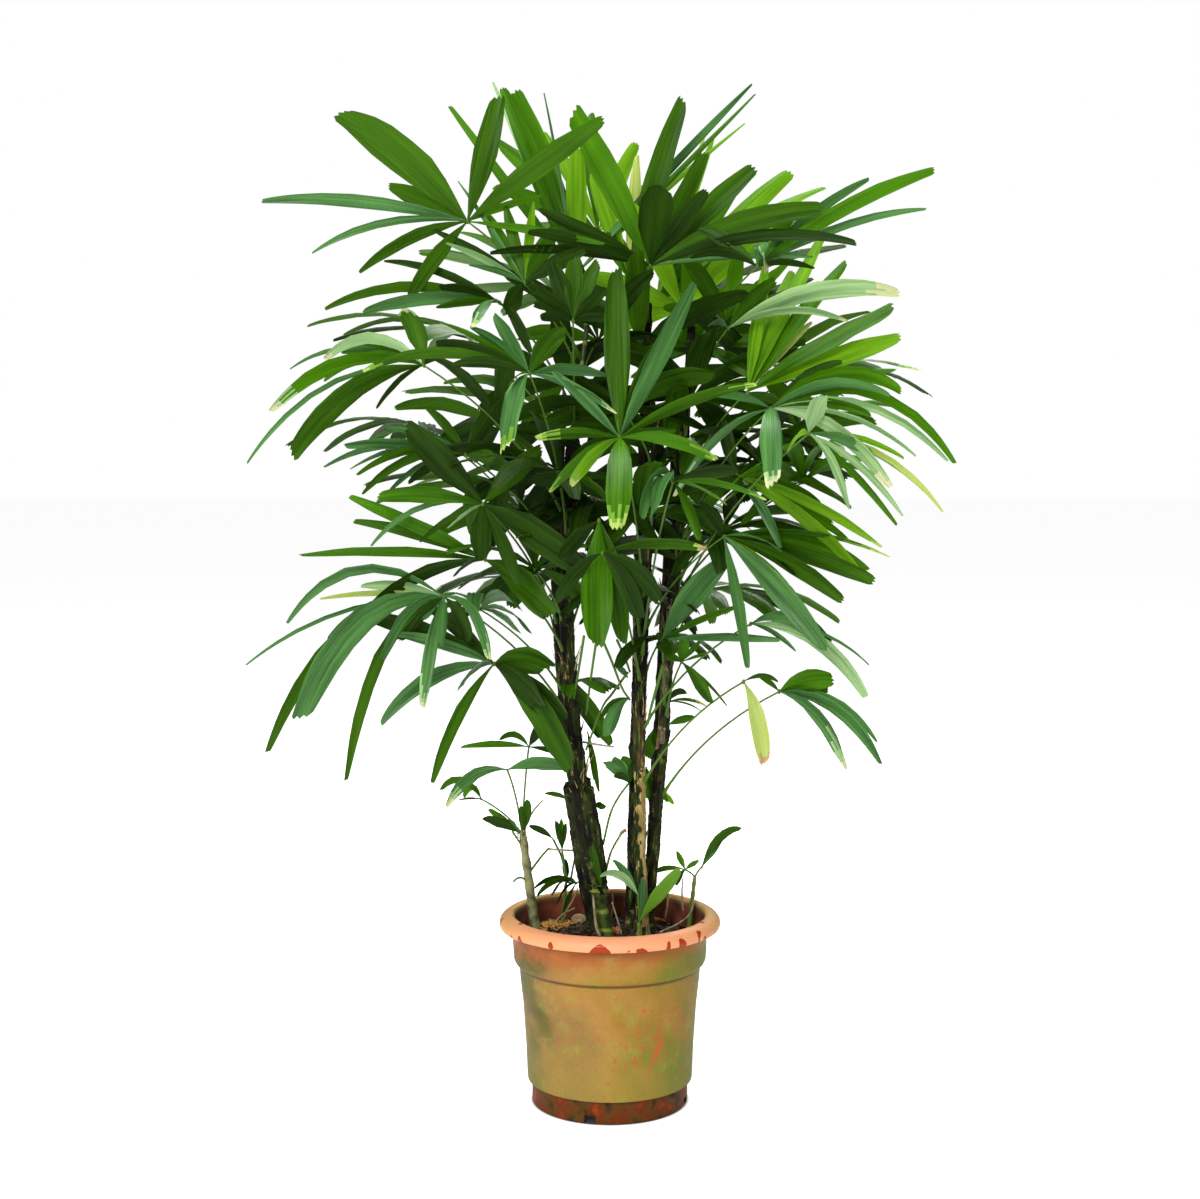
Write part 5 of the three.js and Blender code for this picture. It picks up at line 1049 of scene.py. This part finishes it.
def blades(leaflets):
    """Leaflets as grids of 13 rows along by 7 points across.
    The middle line leaves the hub along start and bends down by droop * t ** 1.3 at the share t of its
    length. The blade widens like a sine to nearly half its length, then narrows to its tip, which is about
    a third of the width on narrow leaflets and half on broad ones, times end; near the hub it keeps to its
    room between the neighbours. Its side bends with it, or by the share facing stays square to its first
    face. Across it three ribs fold it into pleats; it is a shallow V near the hub and arched near the tip,
    and turns a little on its way. The last rows are shifted along it into a slanting tip with teeth.
    Returns points and uv."""
    hub, start, side = leaflets[:, None, 0:3], leaflets[:, None, 3:6], leaflets[:, None, 6:9]
    length, width, droop, room, seed, facing, end = leaflets[:, 9:].T[..., None]
    way = bending_way(start[:, 0], droop[:, 0])
    stride = (way[:, :-1] + way[:, 1:]) / 2 * length[..., None] / PATH_STEPS
    path = hub + np.concatenate([0 * way[:, :1], np.cumsum(stride, axis=1)], axis=1)
    low = np.minimum(ROW_STEPS.astype(int), PATH_STEPS - 1)
    share = (ROW_STEPS - low)[None, :, None]
    path = path[:, low] * (1 - share) + path[:, low + 1] * share
    way = unit(way[:, low] * (1 - share) + way[:, low + 1] * share)

    t = ROW_STEPS[None, :] / PATH_STEPS
    bent = side - way * np.sum(way * side, axis=-1, keepdims=True)
    flat = unit(bent * (1 - facing[..., None]) + np.cross(way, np.cross(side, start)) * facing[..., None])
    turned = ((noise(seed + 0.8) - 0.5) * (1.1 - 0.5 * facing) * t ** 1.5)[..., None]
    across = np.cos(turned) * flat + np.sin(turned) * np.cross(flat, way)
    up = np.cross(across, way)

    end_share = end * np.clip(0.24 + 0.009 * width, 0.3, 0.56) * (0.65 + 0.5 * noise(seed + 0.25))
    opening = np.sin(np.minimum(t / 0.45, 1) * np.pi / 2)
    closing = 1 - (1 - end_share) * np.clip((t - 0.5) / 0.5, 0, 1) ** 2.1
    wave = 1 + 0.03 * np.sin(t * 15 + 6.28 * noise(seed + 0.5))
    full, free = np.maximum(width * opening * closing, 0.1), np.maximum(room * t * length, 0.1)
    half = (np.maximum((full ** -4 + free ** -4) ** -0.25 / 2, 0.9) * wave)[..., None]

    u = COLUMNS[None, None, :]
    ribs = np.array([0.3, -1, 0.7, -1.1, 0.7, -1, 0.3])[None, None, :]
    pleat = 0.12 * half * ribs * (1 - 0.5 * t[..., None])
    fold = half * (0.4 * np.abs(u) * (1 - t[..., None]) ** 2 - 0.3 * u ** 2 * t[..., None])
    ripples = 0.06 * half * np.abs(u) * np.sin(17 * t + 5 * noise(seed + 0.6))[..., None]
    sickle = ((noise(seed + 0.1) - 0.5) * 0.1 * length * t * (1 - t))[..., None]
    slant = ((noise(seed + 0.4) - 0.5) * 1.6)[..., None]
    teeth = np.array([-0.9, 0.25, -0.45, 0.55, -0.35, 0.3, -0.9])[None, None, :]
    last = np.clip((t - 0.955) / 0.045, 0, 1)[..., None]
    forth = half * slant * u * last ** 0.5 + np.minimum(0.6 * half, 4.5) * teeth * last ** 3

    points = (path[:, :, None, :] + across[:, :, None, :] * (half * u + sickle)[..., None]
              + up[:, :, None, :] * (pleat + fold + ripples)[..., None]
              + way[:, :, None, :] * forth[..., None])
    uv = np.stack([half * u + 0 * t[..., None] + 40 * seed[..., None],
                   (t * length)[..., None] + 0 * u + 0 * half], -1)
    return points.reshape(-1, 3), uv.reshape(-1, 2)


# Each green is given as the colour of its furrows, the colour of its ridges, how much light it lets through
# and how much it shines. The greens are partly the leaves' own colour and partly painted light: deep and mid
# are painted shade for leaflets inside the crown, lit and bright are painted light, blue paints a sheen of
# the bright surroundings, and pale paints sheen and light as well as the green before a straw tip. yellow,
# yellow_tip, straw and brown_tip are the leaves' own colour, and so is yellowing where a tip fades. A fan's
# tone decides which its leaflets take; some take the neighbouring one instead. A coloured tip fades into the
# green over one of FADING.
TONES = {
    "deep": ("#132406", "#2a460e", 0.16, 0.05), "mid": ("#1b3704", "#3c650d", 0.26, 0.06),
    "blue": ("#1d401a", "#50823e", 0.15, 0.18), "lit": ("#224704", "#487d09", 0.36, 0.08),
    "bright": ("#3b6c04", "#78ae1c", 0.44, 0.09), "pale": ("#507c44", "#a0c084", 0.2, 0.18),
    "yellow": ("#7c9638", "#b7c468", 0.3, 0.16), "yellowing": ("#4c7a1c", "#7ca838", 0.3, 0.16),
    "yellow_tip": ("#7c9c3c", "#b4c66c", 0.25, 0.16), "straw": ("#9aa26c", "#ccca9c", 0.1, 0.12),
    "brown_tip": ("#8a6a40", "#c4a070", 0.05, 0.12),
}
NEIGHBOURS = {"deep": "mid", "mid": "deep", "blue": "mid", "lit": "mid", "bright": "lit", "pale": "blue",
              "yellow": "lit", "yellowing": "lit"}
FADING = {"yellow_tip": "yellowing", "brown_tip": "yellow_tip", "straw": "pale"}
TONE_NUMBER = {name: number for number, name in enumerate(TONES)}
VEIN_SPACING = 3.0


def leaf_finish(name, furrow, ridge, passing, gloss):
    """A satin, leathery leaf. Fine streaks of 2.5 mm and broad ones of 12 mm run along it; parallel veins
    3 mm apart catch the light; and it lets some light through, in the colour of its ridges."""
    material, tree, shader, output = new_finish(name)
    along = add(tree, "TexCoord").outputs["UV"]
    fine_place = add(tree, "Mapping", {"Vector": along, "Scale": (400.0, 4.0, 1.0)})
    fine = add(tree, "TexNoise", {"Vector": fine_place.outputs["Vector"], "Scale": 1.0, "Detail": 2.0})
    broad_place = add(tree, "Mapping", {"Vector": along, "Scale": (85.0, 7.0, 1.0)})
    broad = add(tree, "TexNoise", {"Vector": broad_place.outputs["Vector"], "Scale": 1.0, "Detail": 2.0})
    streaks = add(tree, "Mix", {0: 0.45, 2: broad.outputs["Fac"], 3: fine.outputs["Fac"]})
    colour = add(tree, "ValToRGB", {"Fac": streaks.outputs[0]}, stops=[
        (0.36, linear(furrow)), (0.64, linear(ridge))])
    veins = add(tree, "TexWave", {"Vector": along, "Scale": WAVE_CYCLE / (VEIN_SPACING * MM),
                                  "Distortion": 0.4, "Detail": 1.0}, bands_direction="X")
    bump = add(tree, "Bump", {"Height": veins.outputs["Fac"], "Strength": 0.14, "Distance": 0.0005})
    tree.links.new(colour.outputs["Color"], shader.inputs["Base Color"])
    tree.links.new(bump.outputs["Normal"], shader.inputs["Normal"])
    shader.inputs["Roughness"].default_value = 0.36
    shader.inputs["Specular IOR Level"].default_value = gloss
    through = add(tree, "BsdfTranslucent", {"Color": linear(ridge), "Normal": bump.outputs["Normal"]})
    mixed = add(tree, "MixShader", {0: passing, 1: shader.outputs["BSDF"], 2: through.outputs["BSDF"]})
    tree.links.new(mixed.outputs["Shader"], output.inputs["Surface"])
    return material


LEAF_FINISHES = [leaf_finish(f"leaf_{name}", *shades) for name, shades in TONES.items()]


def leaflet_finishes(row, first_seed):
    """The finish of every face of a fan's leaflets. A leaflet has its own tone, its fan's or, three times
    in ten, a neighbouring one. A coloured tip takes its last one to five rows of faces, more between some
    ribs than others, and the row or two before them a fading one."""
    count = len(row["drawn"] if "drawn" in row else row["lengths"])
    seed = first_seed + np.arange(count)
    tone = np.where(noise(seed + 0.15) < 0.3, TONE_NUMBER[NEIGHBOURS[row["tone"]]], TONE_NUMBER[row["tone"]])
    tip, share = row.get("tips", ("yellow_tip", 0))
    tip, tipped = np.full(count, TONE_NUMBER[tip]), noise(seed + 0.35) < share
    for number, leaflet in enumerate(row.get("drawn", [])):
        if len(leaflet) > 5:
            tone[number] = TONE_NUMBER[leaflet[5]]
        if len(leaflet) > 6:
            tip[number], tipped[number] = TONE_NUMBER[leaflet[6]], True
    fading = np.array([TONE_NUMBER[FADING.get(name, name)] for name in TONES])[tip]
    rows_left = np.arange(len(ROW_STEPS) - 1, 0, -1)[None, :, None]
    rib = np.arange(len(COLUMNS) - 1)[None, None, :]
    depth = 1 + (noise(seed + 0.45) * 2.2)[:, None, None] + 2.2 * noise(seed[:, None, None] * 7 + rib + 0.55)
    depth = np.where(tipped[:, None, None], depth, -9)
    finish = np.broadcast_to(tone[:, None, None], (count, len(ROW_STEPS) - 1, len(COLUMNS) - 1))
    fade_depth = depth + 0.6 + 2 * noise(rib * 3 + seed[:, None, None])
    finish = np.where(rows_left <= fade_depth, fading[:, None, None], finish)
    return np.where(rows_left <= depth, tip[:, None, None], finish).ravel()


def seeded(rows, first, step):
    """Each fan's row with the seed of its first leaflet. The seeds lie further apart than a fan has
    leaflets."""
    return [(row, first + step * number) for number, row in enumerate(rows)]


def put_leaflets(name, fans, slot, stands_for=()):
    """The leaflets of some seeded fans as one piece."""
    leaflets = np.vstack([leaflets_of(row, seed) for row, seed in fans])
    points, uv = blades(leaflets)
    finishes = np.concatenate([leaflet_finishes(row, seed) for row, seed in fans])
    put_piece(name, points, grid_faces(len(ROW_STEPS), len(COLUMNS), len(leaflets)), LEAF_FINISHES,
              finish_of=finishes, uv=uv, slot=slot, stands_for=stands_for, weld=False)


def bent_stem(start, knee, end, count):
    """A quadratic curve from start to end that heads for knee, as that many points:
    (1 - s) ** 2 * start + 2 * s * (1 - s) * knee + s ** 2 * end for s from 0 to 1."""
    s = np.linspace(0, 1, count)[:, None]
    return (1 - s) ** 2 * start + 2 * s * (1 - s) * knee + s ** 2 * end


def petiole_path(row):
    """A petiole's middle line: it leaves the cane steeply and bends out to the hub, and starts lower on
    the cane the further the hub stands out."""
    cane, hub = CANES[row["cane"]], np.array(row["hub"], float)
    height = cane["top"][2] - SOIL_TOP
    middle = cane_axis(cane, (hub[2] - SOIL_TOP) / height)
    reach = np.hypot(*(hub - middle)[:2])
    start_t = np.clip((hub[2] - PETIOLE_RISE - PETIOLE_SLOPE * reach - SOIL_TOP) / height, 0.08, 0.97)
    start = cane_axis(cane, start_t)
    outward = unit((hub - start) * (1, 1, 0))
    start = start + outward * cane_radius(cane, start_t) * 0.75
    knee = start + (hub - start) * KNEE_OUT
    knee[2] = start[2] + (hub[2] - start[2]) * KNEE_UP
    return bent_stem(start, knee, hub, PETIOLE_POINTS)


def hub_beads(rows, size):
    """The small boss where the leaflets leave the petiole: a bead 3 sizes long along each fan."""
    along = np.linspace(-1.4, 1.6, 6)[:, None]
    paths = np.array([np.array(row["hub"]) + fan_axes(row["turn"])[0] * along * size for row in rows])
    radii = np.repeat([np.array([0.35, 0.75, 1, 0.9, 0.6, 0.1]) * size], len(rows), axis=0)
    return tubes(paths, radii, sides=8)


PETIOLE_FINISH = leaf_finish("petiole_skin", "#2c4a14", "#5f8430", passing=0.05, gloss=0.12)
PETIOLE_POINTS, HUB_SIZE = 12, 2.4
petiole_radii = np.interp(np.linspace(0, 1, PETIOLE_POINTS), [0, 0.08, 0.3, 1], [3.2, 1.9, 1.4, 1.15])
every_fan = seeded(FRONDS, 0, 17) + seeded(INNER_FANS, 3000, 17)
for name in CANES:
    numbers = [number for number, row in enumerate(FRONDS) if row["cane"] == name]
    fans = [(row, seed) for row, seed in every_fan if row["cane"] == name]
    put_leaflets(f"leaflets_{name}", fans, "frond", [f"frond_{number + 1:02d}" for number in numbers])
    rows = [row for row, _ in fans]
    paths = np.array([petiole_path(row) for row in rows])
    put_piece(f"petioles_{name}", *tubes(paths, np.repeat([petiole_radii], len(rows), axis=0), sides=6),
              [PETIOLE_FINISH], slot="frond")
    put_piece(f"hubs_{name}", *hub_beads(rows, HUB_SIZE), [PETIOLE_FINISH], slot="frond")


# ---------------------------------------------------------------- suckers
# Four young shoots at the foot: one stands on a cut, sheathed stump with straw at its top, the others on
# thin green stems. They carry small soft fans of brighter green.

SUCKERS = {
    "left": dict(foot=(-98, 46), top=(-115, 50, 342), radius=7, tip=5, fans=[
        dict(hub=[-114, 44, 339], turn=[-90, 80, 0], tone="lit", drawn=[
            (528, 800, 0, 13, 0.1), (521, 806, -4, 9, 0.2, "mid")]),
        dict(hub=[-133, 24, 427], turn=[-90, 70, 0], tone="blue", drawn=[
            (446, 806, -20, 19, 2.0, "blue", "straw"), (570, 768, -10, 21, 0.7)]),
        dict(hub=[-106, 50, 453], turn=[-90, 70, 0], tone="mid", drawn=[
            (500, 740, -6, 10, 1.5), (543, 722, -2, 13, 0.2, "deep"), (461, 747, -20, 9, 0.3, "lit"),
            (562, 754, -4, 7, 0.4)]),
        dict(hub=[-169, 50, 384], turn=[-90, 70, 0], tone="mid", drawn=[
            (441, 790, -4, 10, 1.6), (464, 797, 4, 9, 2.2, "lit"), (459, 800, 0, 3, 0.5)]),
        dict(hub=[-120, 46, 340], turn=[-90, 60, 0], tone="mid", drawn=[
            (484, 817, -6, 17, 0.3), (489, 809, 4, 10, 0.2, "lit"), (508, 819, 6, 7, 0.4, "blue")]),
    ]),
    "back": dict(foot=(-62, 78), top=(-58, 80, 268), radius=3, tip=2, fans=[
        dict(hub=[-58, 80, 268], turn=[-90, 75, 0], tone="mid", drawn=[
            (565, 859, 0, 9, 0.1), (568, 866, 2, 5, 0.1)]),
        dict(hub=[-44, 84, 264], turn=[-90, 60, 0], tone="deep", drawn=[
            (534, 888, -14, 10, 1.3), (537, 896, -24, 9, 1.6, "mid"), (551, 896, -30, 14, 2.0, "blue"),
            (590, 882, -10, 9, 0.6), (556, 905, -24, 10, 2.2), (562, 917, -10, 6, 1.8)]),
    ]),
    "front": dict(foot=(37, -38), top=(37, -36, 241), radius=2.8, tip=2.4, fans=[
        dict(hub=[38, -37, 243], turn=[-90, 72, 0], tone="bright", drawn=[
            # The first leaflet's yellowing tone paints the light on it.
            (680, 869, -10, 18, 0.3, "yellowing"), (643, 879, 0, 12, 0.1, "blue")]),
        dict(hub=[36, -38, 276], turn=[-90, 70, 0], tone="blue", drawn=[
            (600, 876, -10, 12, 1.2, "pale"), (613, 860, 0, 10, 0.6)]),
    ]),
    "right": dict(foot=(104, 40), top=(112, 42, 284), radius=3.6, tip=2.4, fans=[
        dict(hub=[121, 42, 295], turn=[-90, 70, 0], tone="blue", drawn=[
            (741, 829, -4, 12, 1.0), (722, 839, 0, 8, 0.2)]),
        dict(hub=[99, 40, 292], turn=[-90, 70, 0], tone="lit", drawn=[
            (677, 851, 0, 8, 0.1), (699, 860, 0, 8, 0.2), (650, 874, 10, 8, 0.9, "mid"),
            (664, 891, 0, 8, 1.4, "blue"), (676, 886, 0, 6, 1.2, "deep")]),
    ]),
}
STEM_FINISHES = {"left": plain_grit("sheathed_stump", "#4a4a2c", "#8a8758", roughness=0.75, grain=5.0)}
green_stem = leaf_finish("young_stem", "#42561c", "#7a8c44", passing=0.05, gloss=0.12)
SMALL_PETIOLE_POINTS, SMALL_PETIOLE_RADIUS, SMALL_HUB_SIZE = 10, 1.3, 1.6

for name, sucker in SUCKERS.items():
    # The stem thins evenly and has some knots; its foot is a fifth stouter and stands 3 mm in the soil.
    foot, top = np.array([*sucker["foot"], SOIL_TOP - 3], float), np.array(sucker["top"], float)
    s = np.linspace(0, 1, 22)
    knots = 0.12 * sucker["radius"] * np.sin(s * 31) ** 3
    radii = sucker["radius"] + (sucker["tip"] - sucker["radius"]) * s + knots
    radii[0] *= 1.2
    axis = foot + (top - foot) * s[:, None]
    put_piece(f"sucker_{name}_stem", *tubes(axis[None], radii[None], sides=14),
              [STEM_FINISHES.get(name, green_stem)], slot="sucker")
    rows = sucker["fans"]
    put_leaflets(f"sucker_{name}_leaflets", seeded(rows, 900, 31), "sucker", [f"sucker_{name}"])
    # A fan that stands off the stem's tip has a petiole of its own.
    bends = []
    for row in rows:
        start, hub = top - (0, 0, sucker["tip"]), np.array(row["hub"], float)
        if np.linalg.norm(hub - top) > 2 * sucker["tip"]:
            knee = start + (hub - start) * (KNEE_OUT, KNEE_OUT, KNEE_UP)
            bends.append(bent_stem(start, knee, hub, SMALL_PETIOLE_POINTS))
    if bends:
        thin = np.full((len(bends), SMALL_PETIOLE_POINTS), SMALL_PETIOLE_RADIUS)
        put_piece(f"sucker_{name}_petioles", *tubes(np.array(bends), thin, sides=6), [PETIOLE_FINISH],
                  slot="sucker")
    put_piece(f"sucker_{name}_hubs", *hub_beads(rows, SMALL_HUB_SIZE), [PETIOLE_FINISH], slot="sucker")


# ---------------------------------------------------------------- small shoots and dry stems
# Single leaves low on the canes and the stump, on wiry stalks, and what has died back between them: dry
# stems and twigs that lean over the soil, and straw round the stump's cut top.

def stalks(routes, radii, sides=6, points_each=12):
    """Wiry stalks through a few points each: a Catmull-Rom curve, whose tangent at a point is half the
    step between its neighbours. radii gives each stalk's thickness at its foot and at its end."""
    t = np.linspace(0, 1, points_each)
    paths = []
    for route in routes:
        knots = np.array(route, float)
        knots = np.vstack([2 * knots[0] - knots[1], knots, 2 * knots[-1] - knots[-2]])
        along = t * (len(route) - 1)
        i = np.minimum(along.astype(int), len(route) - 2)
        f = (along - i)[:, None]
        a, b, c, d = knots[i], knots[i + 1], knots[i + 2], knots[i + 3]
        paths.append(0.5 * (2 * b + (c - a) * f + (2 * a - 5 * b + 4 * c - d) * f ** 2
                            + (3 * b - a - 3 * c + d) * f ** 3))
    thick = np.array([np.linspace(*pair, points_each) for pair in radii])
    return tubes(np.array(paths), thick, sides)


def as_seen(routes):
    """Routes given by places in the camera's picture and the depths there, as points."""
    return [seen_at(*np.array(route, float).T) for route in routes]


small_leaves = [
    dict(hub=[24.7, 5, 413], turn=[-90, 60, 0], tone="blue", drawn=[
        (604, 764, -4, 16, 0.9), (613, 758, 0, 18, 0.4), (625, 756, 4, 18, 0.2, "mid"),
        (637, 758, 0, 14, 0.3, "deep"), (614, 777, -8, 10, 1.2, "deep")]),
    dict(hub=[-54, 30, 386], turn=[-90, 60, 0], tone="mid", drawn=[(545, 793, -4, 9, 0.6)]),
    dict(hub=[-20, 22, 380], turn=[-90, 60, 0], tone="mid", drawn=[
        (606, 807, 0, 10, 0.4), (602, 803, 0, 6, 0.2)]),
    dict(hub=[-75, 60, 329], turn=[-90, 60, 0], tone="mid", drawn=[(529, 826, -4, 9, 0.5)]),
    dict(hub=[-63, 66, 313], turn=[-90, 84, 0], tone="mid", drawn=[
        (556, 821, 0, 8, 0, "deep"), (561, 819, 0, 9, 0), (566, 823, 0, 7, 0, "deep")]),
    dict(hub=[-11, -14, 282], turn=[-90, 70, 0], tone="blue", drawn=[
        (589, 838, 6, 10, 0.1), (596, 858, 8, 8, 0)]),
    dict(hub=[-70, 44, 556], turn=[-90, 50, 0], tone="mid", drawn=[
        (612, 744, -10, 26, 0.4), (600, 738, 0, 16, 0.3, "deep")]),
    dict(hub=[57, 30, 480], turn=[-90, 50, 0], tone="lit", drawn=[
        (648, 758, 0, 15, 0.5), (656, 748, 0, 9, 0.4, "mid")]),
    dict(hub=[58, 84, 396], turn=[-90, 50, 0], tone="bright", drawn=[
        (674, 804, 0, 9, 0.5), (668, 802, 0, 9, 0.8)]),
    dict(hub=[48, 60, 425], turn=[-90, 50, 0], tone="lit", drawn=[
        (649, 800, 0, 15, 0.4), (655, 796, 0, 9, 0.3)]),
    dict(hub=[75, 10, 488], turn=[-90, 50, 0], tone="blue", drawn=[(694, 716, 0, 12, 0.2)]),
    dict(hub=[75, 10, 518], turn=[-90, 50, 0], tone="mid", drawn=[
        (706, 706, 0, 5, 0.9, "mid", "brown_tip"), (701, 711, 0, 3, 0.9), (686, 694, 0, 9, 1.4, "deep")]),
    dict(hub=[23, 8, 549], turn=[-90, 60, 0], tone="blue", drawn=[
        (616, 663, 0, 8, 0.1), (620, 666, 2, 7, 0)]),
    dict(hub=[25, 6, 523], turn=[-90, 60, 0], tone="blue", drawn=[
        (606, 736, -10, 20, 2.8), (600, 720, -4, 9, 2.2)]),
    dict(hub=[-29, 20, 478], turn=[-90, 60, 0], tone="mid", drawn=[
        (599, 792, 0, 8, 0.8), (594, 780, 0, 6, 0.5)]),
]
put_leaflets("small_leaves", seeded(small_leaves, 5000, 31), "sucker")

# Each stalk or stem is given by its places in the camera's picture and the depths there.
green_routes = [
    [(603, 845, 8), (610, 815, 8), (618, 798, 6), (629, 783, 5)],
    [(606, 871, 6), (611, 852, 6), (620, 836, 4), (626, 830, 6)],
    [(566, 878, 80), (562, 858, 72), (556, 845, 64), (553, 839, 60)],
    [(567, 880, 80), (565, 868, 74), (562, 850, 66)],
    [(571, 879, 84), (574, 862, 84), (577, 852, 84)],
    [(529, 873, 48), (541, 857, 56), (549, 848, 66)],
    [(531, 895, 48), (525, 880, 46), (518, 878, 42), (513, 882, 40)],
    [(512, 831, 46), (518, 840, 46), (523, 848, 46)],
    [(628, 672, 4), (612, 694, 4), (602, 708, 6), (586, 750, 10)],
    [(600, 634, -30), (612, 662, -10), (622, 688, 0), (630, 700, 6)],
    [(584, 636, -60), (579, 668, -30), (573, 702, 2)],
    [(597, 636, -60), (592, 670, -30), (586, 715, 6)],
    [(617, 640, -30), (625, 658, -6), (630, 672, 4)],
    [(663, 664, -40), (657, 686, -30), (650, 712, -12), (648, 724, -2)],
]
green_thickness = [(1.7, 1.4)] * (len(green_routes) - 1) + [(2.2, 1.4)]
put_piece("green_stalks", *stalks(as_seen(green_routes), green_thickness), [PETIOLE_FINISH],
          slot="sucker")

dry_routes = [
    [(694, 900, 36), (690, 914, 20), (678, 924, -10), (660, 932, -40)],
    [(563, 926, 82), (566, 912, 74), (573, 900, 62), (578, 888, 54)],
    [(552, 926, 70), (562, 915, 60), (575, 908, 46)],
    [(527, 822, 48), (534, 810, 44), (543, 800, 40)],
    [(665, 920, 60), (668, 900, 54), (667, 884, 50)],
    [(610, 922, 40), (613, 905, 36), (612, 890, 32)],
    [(549, 849, 66), (562, 850, 62), (584, 851, 56)],
    [(583, 742, 12), (600, 745, 8), (614, 747, 8)],
    [(626, 830, 6), (621, 833, 4), (619, 838, 4)],
    [(683, 912, 40), (682, 892, 40), (683, 878, 40)],
    [(600, 936, -20), (596, 925, -16), (593, 895, -12)],
    [(622, 935, 10), (616, 915, 8), (612, 902, 4)],
]
dry_thickness = [(1.6, 1.2), (1.4, 0.9), (1.4, 1.0), (1.5, 1.1), (1.6, 0.9), (1.4, 0.8),
                 (1.7, 1.5), (1.7, 1.2), (2.6, 1.2), (1.5, 1.0), (2.4, 1.6), (1.3, 0.8)]
put_piece("dry_stems", *stalks(as_seen(dry_routes), dry_thickness),
          [plain_grit("dry_stem_skin", "#6a5a3c", "#a89878", roughness=0.75, grain=6.0)], slot="sucker")

# Straw stands round the stump's top on a ring of 4 mm, and each piece reaches 9 mm out and up or down.
STRAWS, STRAW_RING, STRAW_REACH = 16, 4, 9
straw_rng = np.random.default_rng(51)
straw_angle = straw_rng.uniform(0, 2 * np.pi, STRAWS)
straw_way = np.stack([np.cos(straw_angle), np.sin(straw_angle)], -1)
straw_foot = np.array(SUCKERS["left"]["top"]) + np.column_stack(
    [STRAW_RING * straw_way, straw_rng.uniform(-12, 0, STRAWS)])
straw_end = straw_foot + np.column_stack([STRAW_REACH * straw_way, straw_rng.uniform(-14, 10, STRAWS)])
straw_routes = [[foot, (foot + end) / 2 + (0, 0, 3), end] for foot, end in zip(straw_foot, straw_end)]
put_piece("stump_straw", *stalks(straw_routes, [(0.7, 0.25)] * STRAWS, sides=4, points_each=6),
          [plain_grit("stump_straw_fibre", "#8a7a4c", "#c0b080", roughness=0.8, grain=5.0)], slot="sucker")


# ---------------------------------------------------------------- floor, light and camera
# A sheet of matt white paper that runs out of sight, under three softboxes and an even white backdrop.
# It lies half a millimetre under the pot's pad. Only under the foot is it painted near black, without its
# glow: a painted shadow.

FOOT_SHADOW_FROM, FOOT_SHADOW_TO = 0.099, 0.104
bpy.ops.mesh.primitive_plane_add(size=60, location=(0, 0, -0.0005))
floor = bpy.context.object
floor.name = "floor"
paper, tree, shader, output = new_finish("white_paper")
shader.inputs["Roughness"].default_value = 0.9
# To the camera the paper also glows, which makes it as white as the backdrop.
seen = add(tree, "LightPath").outputs["Is Camera Ray"]
glow = add(tree, "Emission", {"Color": (0.59, 0.59, 0.59, 1)})
from_middle = add(tree, "VectorMath", {0: add(tree, "TexCoord").outputs["Object"]}, operation="LENGTH")
# Inside the foot's ring the paper's colour falls to near black and its glow to nothing: a painted shadow.
paper_tone_with_painted_shadow = add(tree, "MapRange", {"Value": from_middle.outputs["Value"], "From Min": FOOT_SHADOW_FROM,
                                   "From Max": FOOT_SHADOW_TO, "To Min": 0.03, "To Max": 0.95})
tree.links.new(paper_tone_with_painted_shadow.outputs["Result"], shader.inputs["Base Color"])
glowing = add(tree, "Math", {0: seen, 1: paper_tone_with_painted_shadow.outputs["Result"]}, operation="MULTIPLY")
tree.links.new(glowing.outputs["Value"], glow.inputs["Strength"])
both = add(tree, "AddShader", {0: shader.outputs["BSDF"], 1: glow.outputs["Emission"]})
tree.links.new(both.outputs["Shader"], output.inputs["Surface"])
floor.data.materials.append(paper)

# Floor and backdrop are white to the eye. The backdrop lights the plant with less than half of that.
world = bpy.data.worlds.new("studio")
bpy.context.scene.world = world
world.use_nodes = True
sky = world.node_tree
sky.nodes.clear()
seen = add(sky, "LightPath").outputs["Is Camera Ray"]
strength = add(sky, "MapRange", {"Value": seen, "To Min": 0.43, "To Max": 1.0})
backdrop = add(sky, "Background", {"Color": (1, 1, 1, 1), "Strength": strength.outputs["Result"]})
add(sky, "OutputWorld", {"Surface": backdrop.outputs["Background"]})


PLANT_MIDDLE = np.array([0, 0, 0.7])


def softbox(name, place, size, power):
    """A square area light that faces the middle of the plant."""
    light = bpy.data.lights.new(name, "AREA")
    light.shape, light.size, light.energy = "SQUARE", size, power
    lamp = bpy.data.objects.new(name, light)
    bpy.context.scene.collection.objects.link(lamp)
    lamp.location = place
    aim = PLANT_MIDDLE - place
    flat = np.hypot(aim[0], aim[1])
    lamp.rotation_euler = (np.pi / 2 + np.arctan2(aim[2], flat), 0, np.arctan2(-aim[0], aim[1]))


softbox("overhead_softbox", (-0.3, 0.3, 3.4), size=1.6, power=112)
softbox("front_softbox", (-1.2, -3.2, 2.2), size=1.4, power=128)
softbox("back_softbox", (0.8, 2.4, 2.6), size=1.2, power=60)

camera_data = bpy.data.cameras.new("camera")
camera = bpy.data.objects.new("camera", camera_data)
bpy.context.scene.collection.objects.link(camera)
camera.location = CAMERA_PLACE * MM
camera.rotation_euler = (np.radians(90 - CAMERA_PITCH), 0, 0)
# FOCAL_LENGTH in millimetres, where the picture's 1200 pixels are a sensor's 36 mm.
camera_data.lens, camera_data.sensor_width = 56.6, 36
bpy.context.scene.camera = camera
bpy.context.scene.view_settings.view_transform = "Standard"
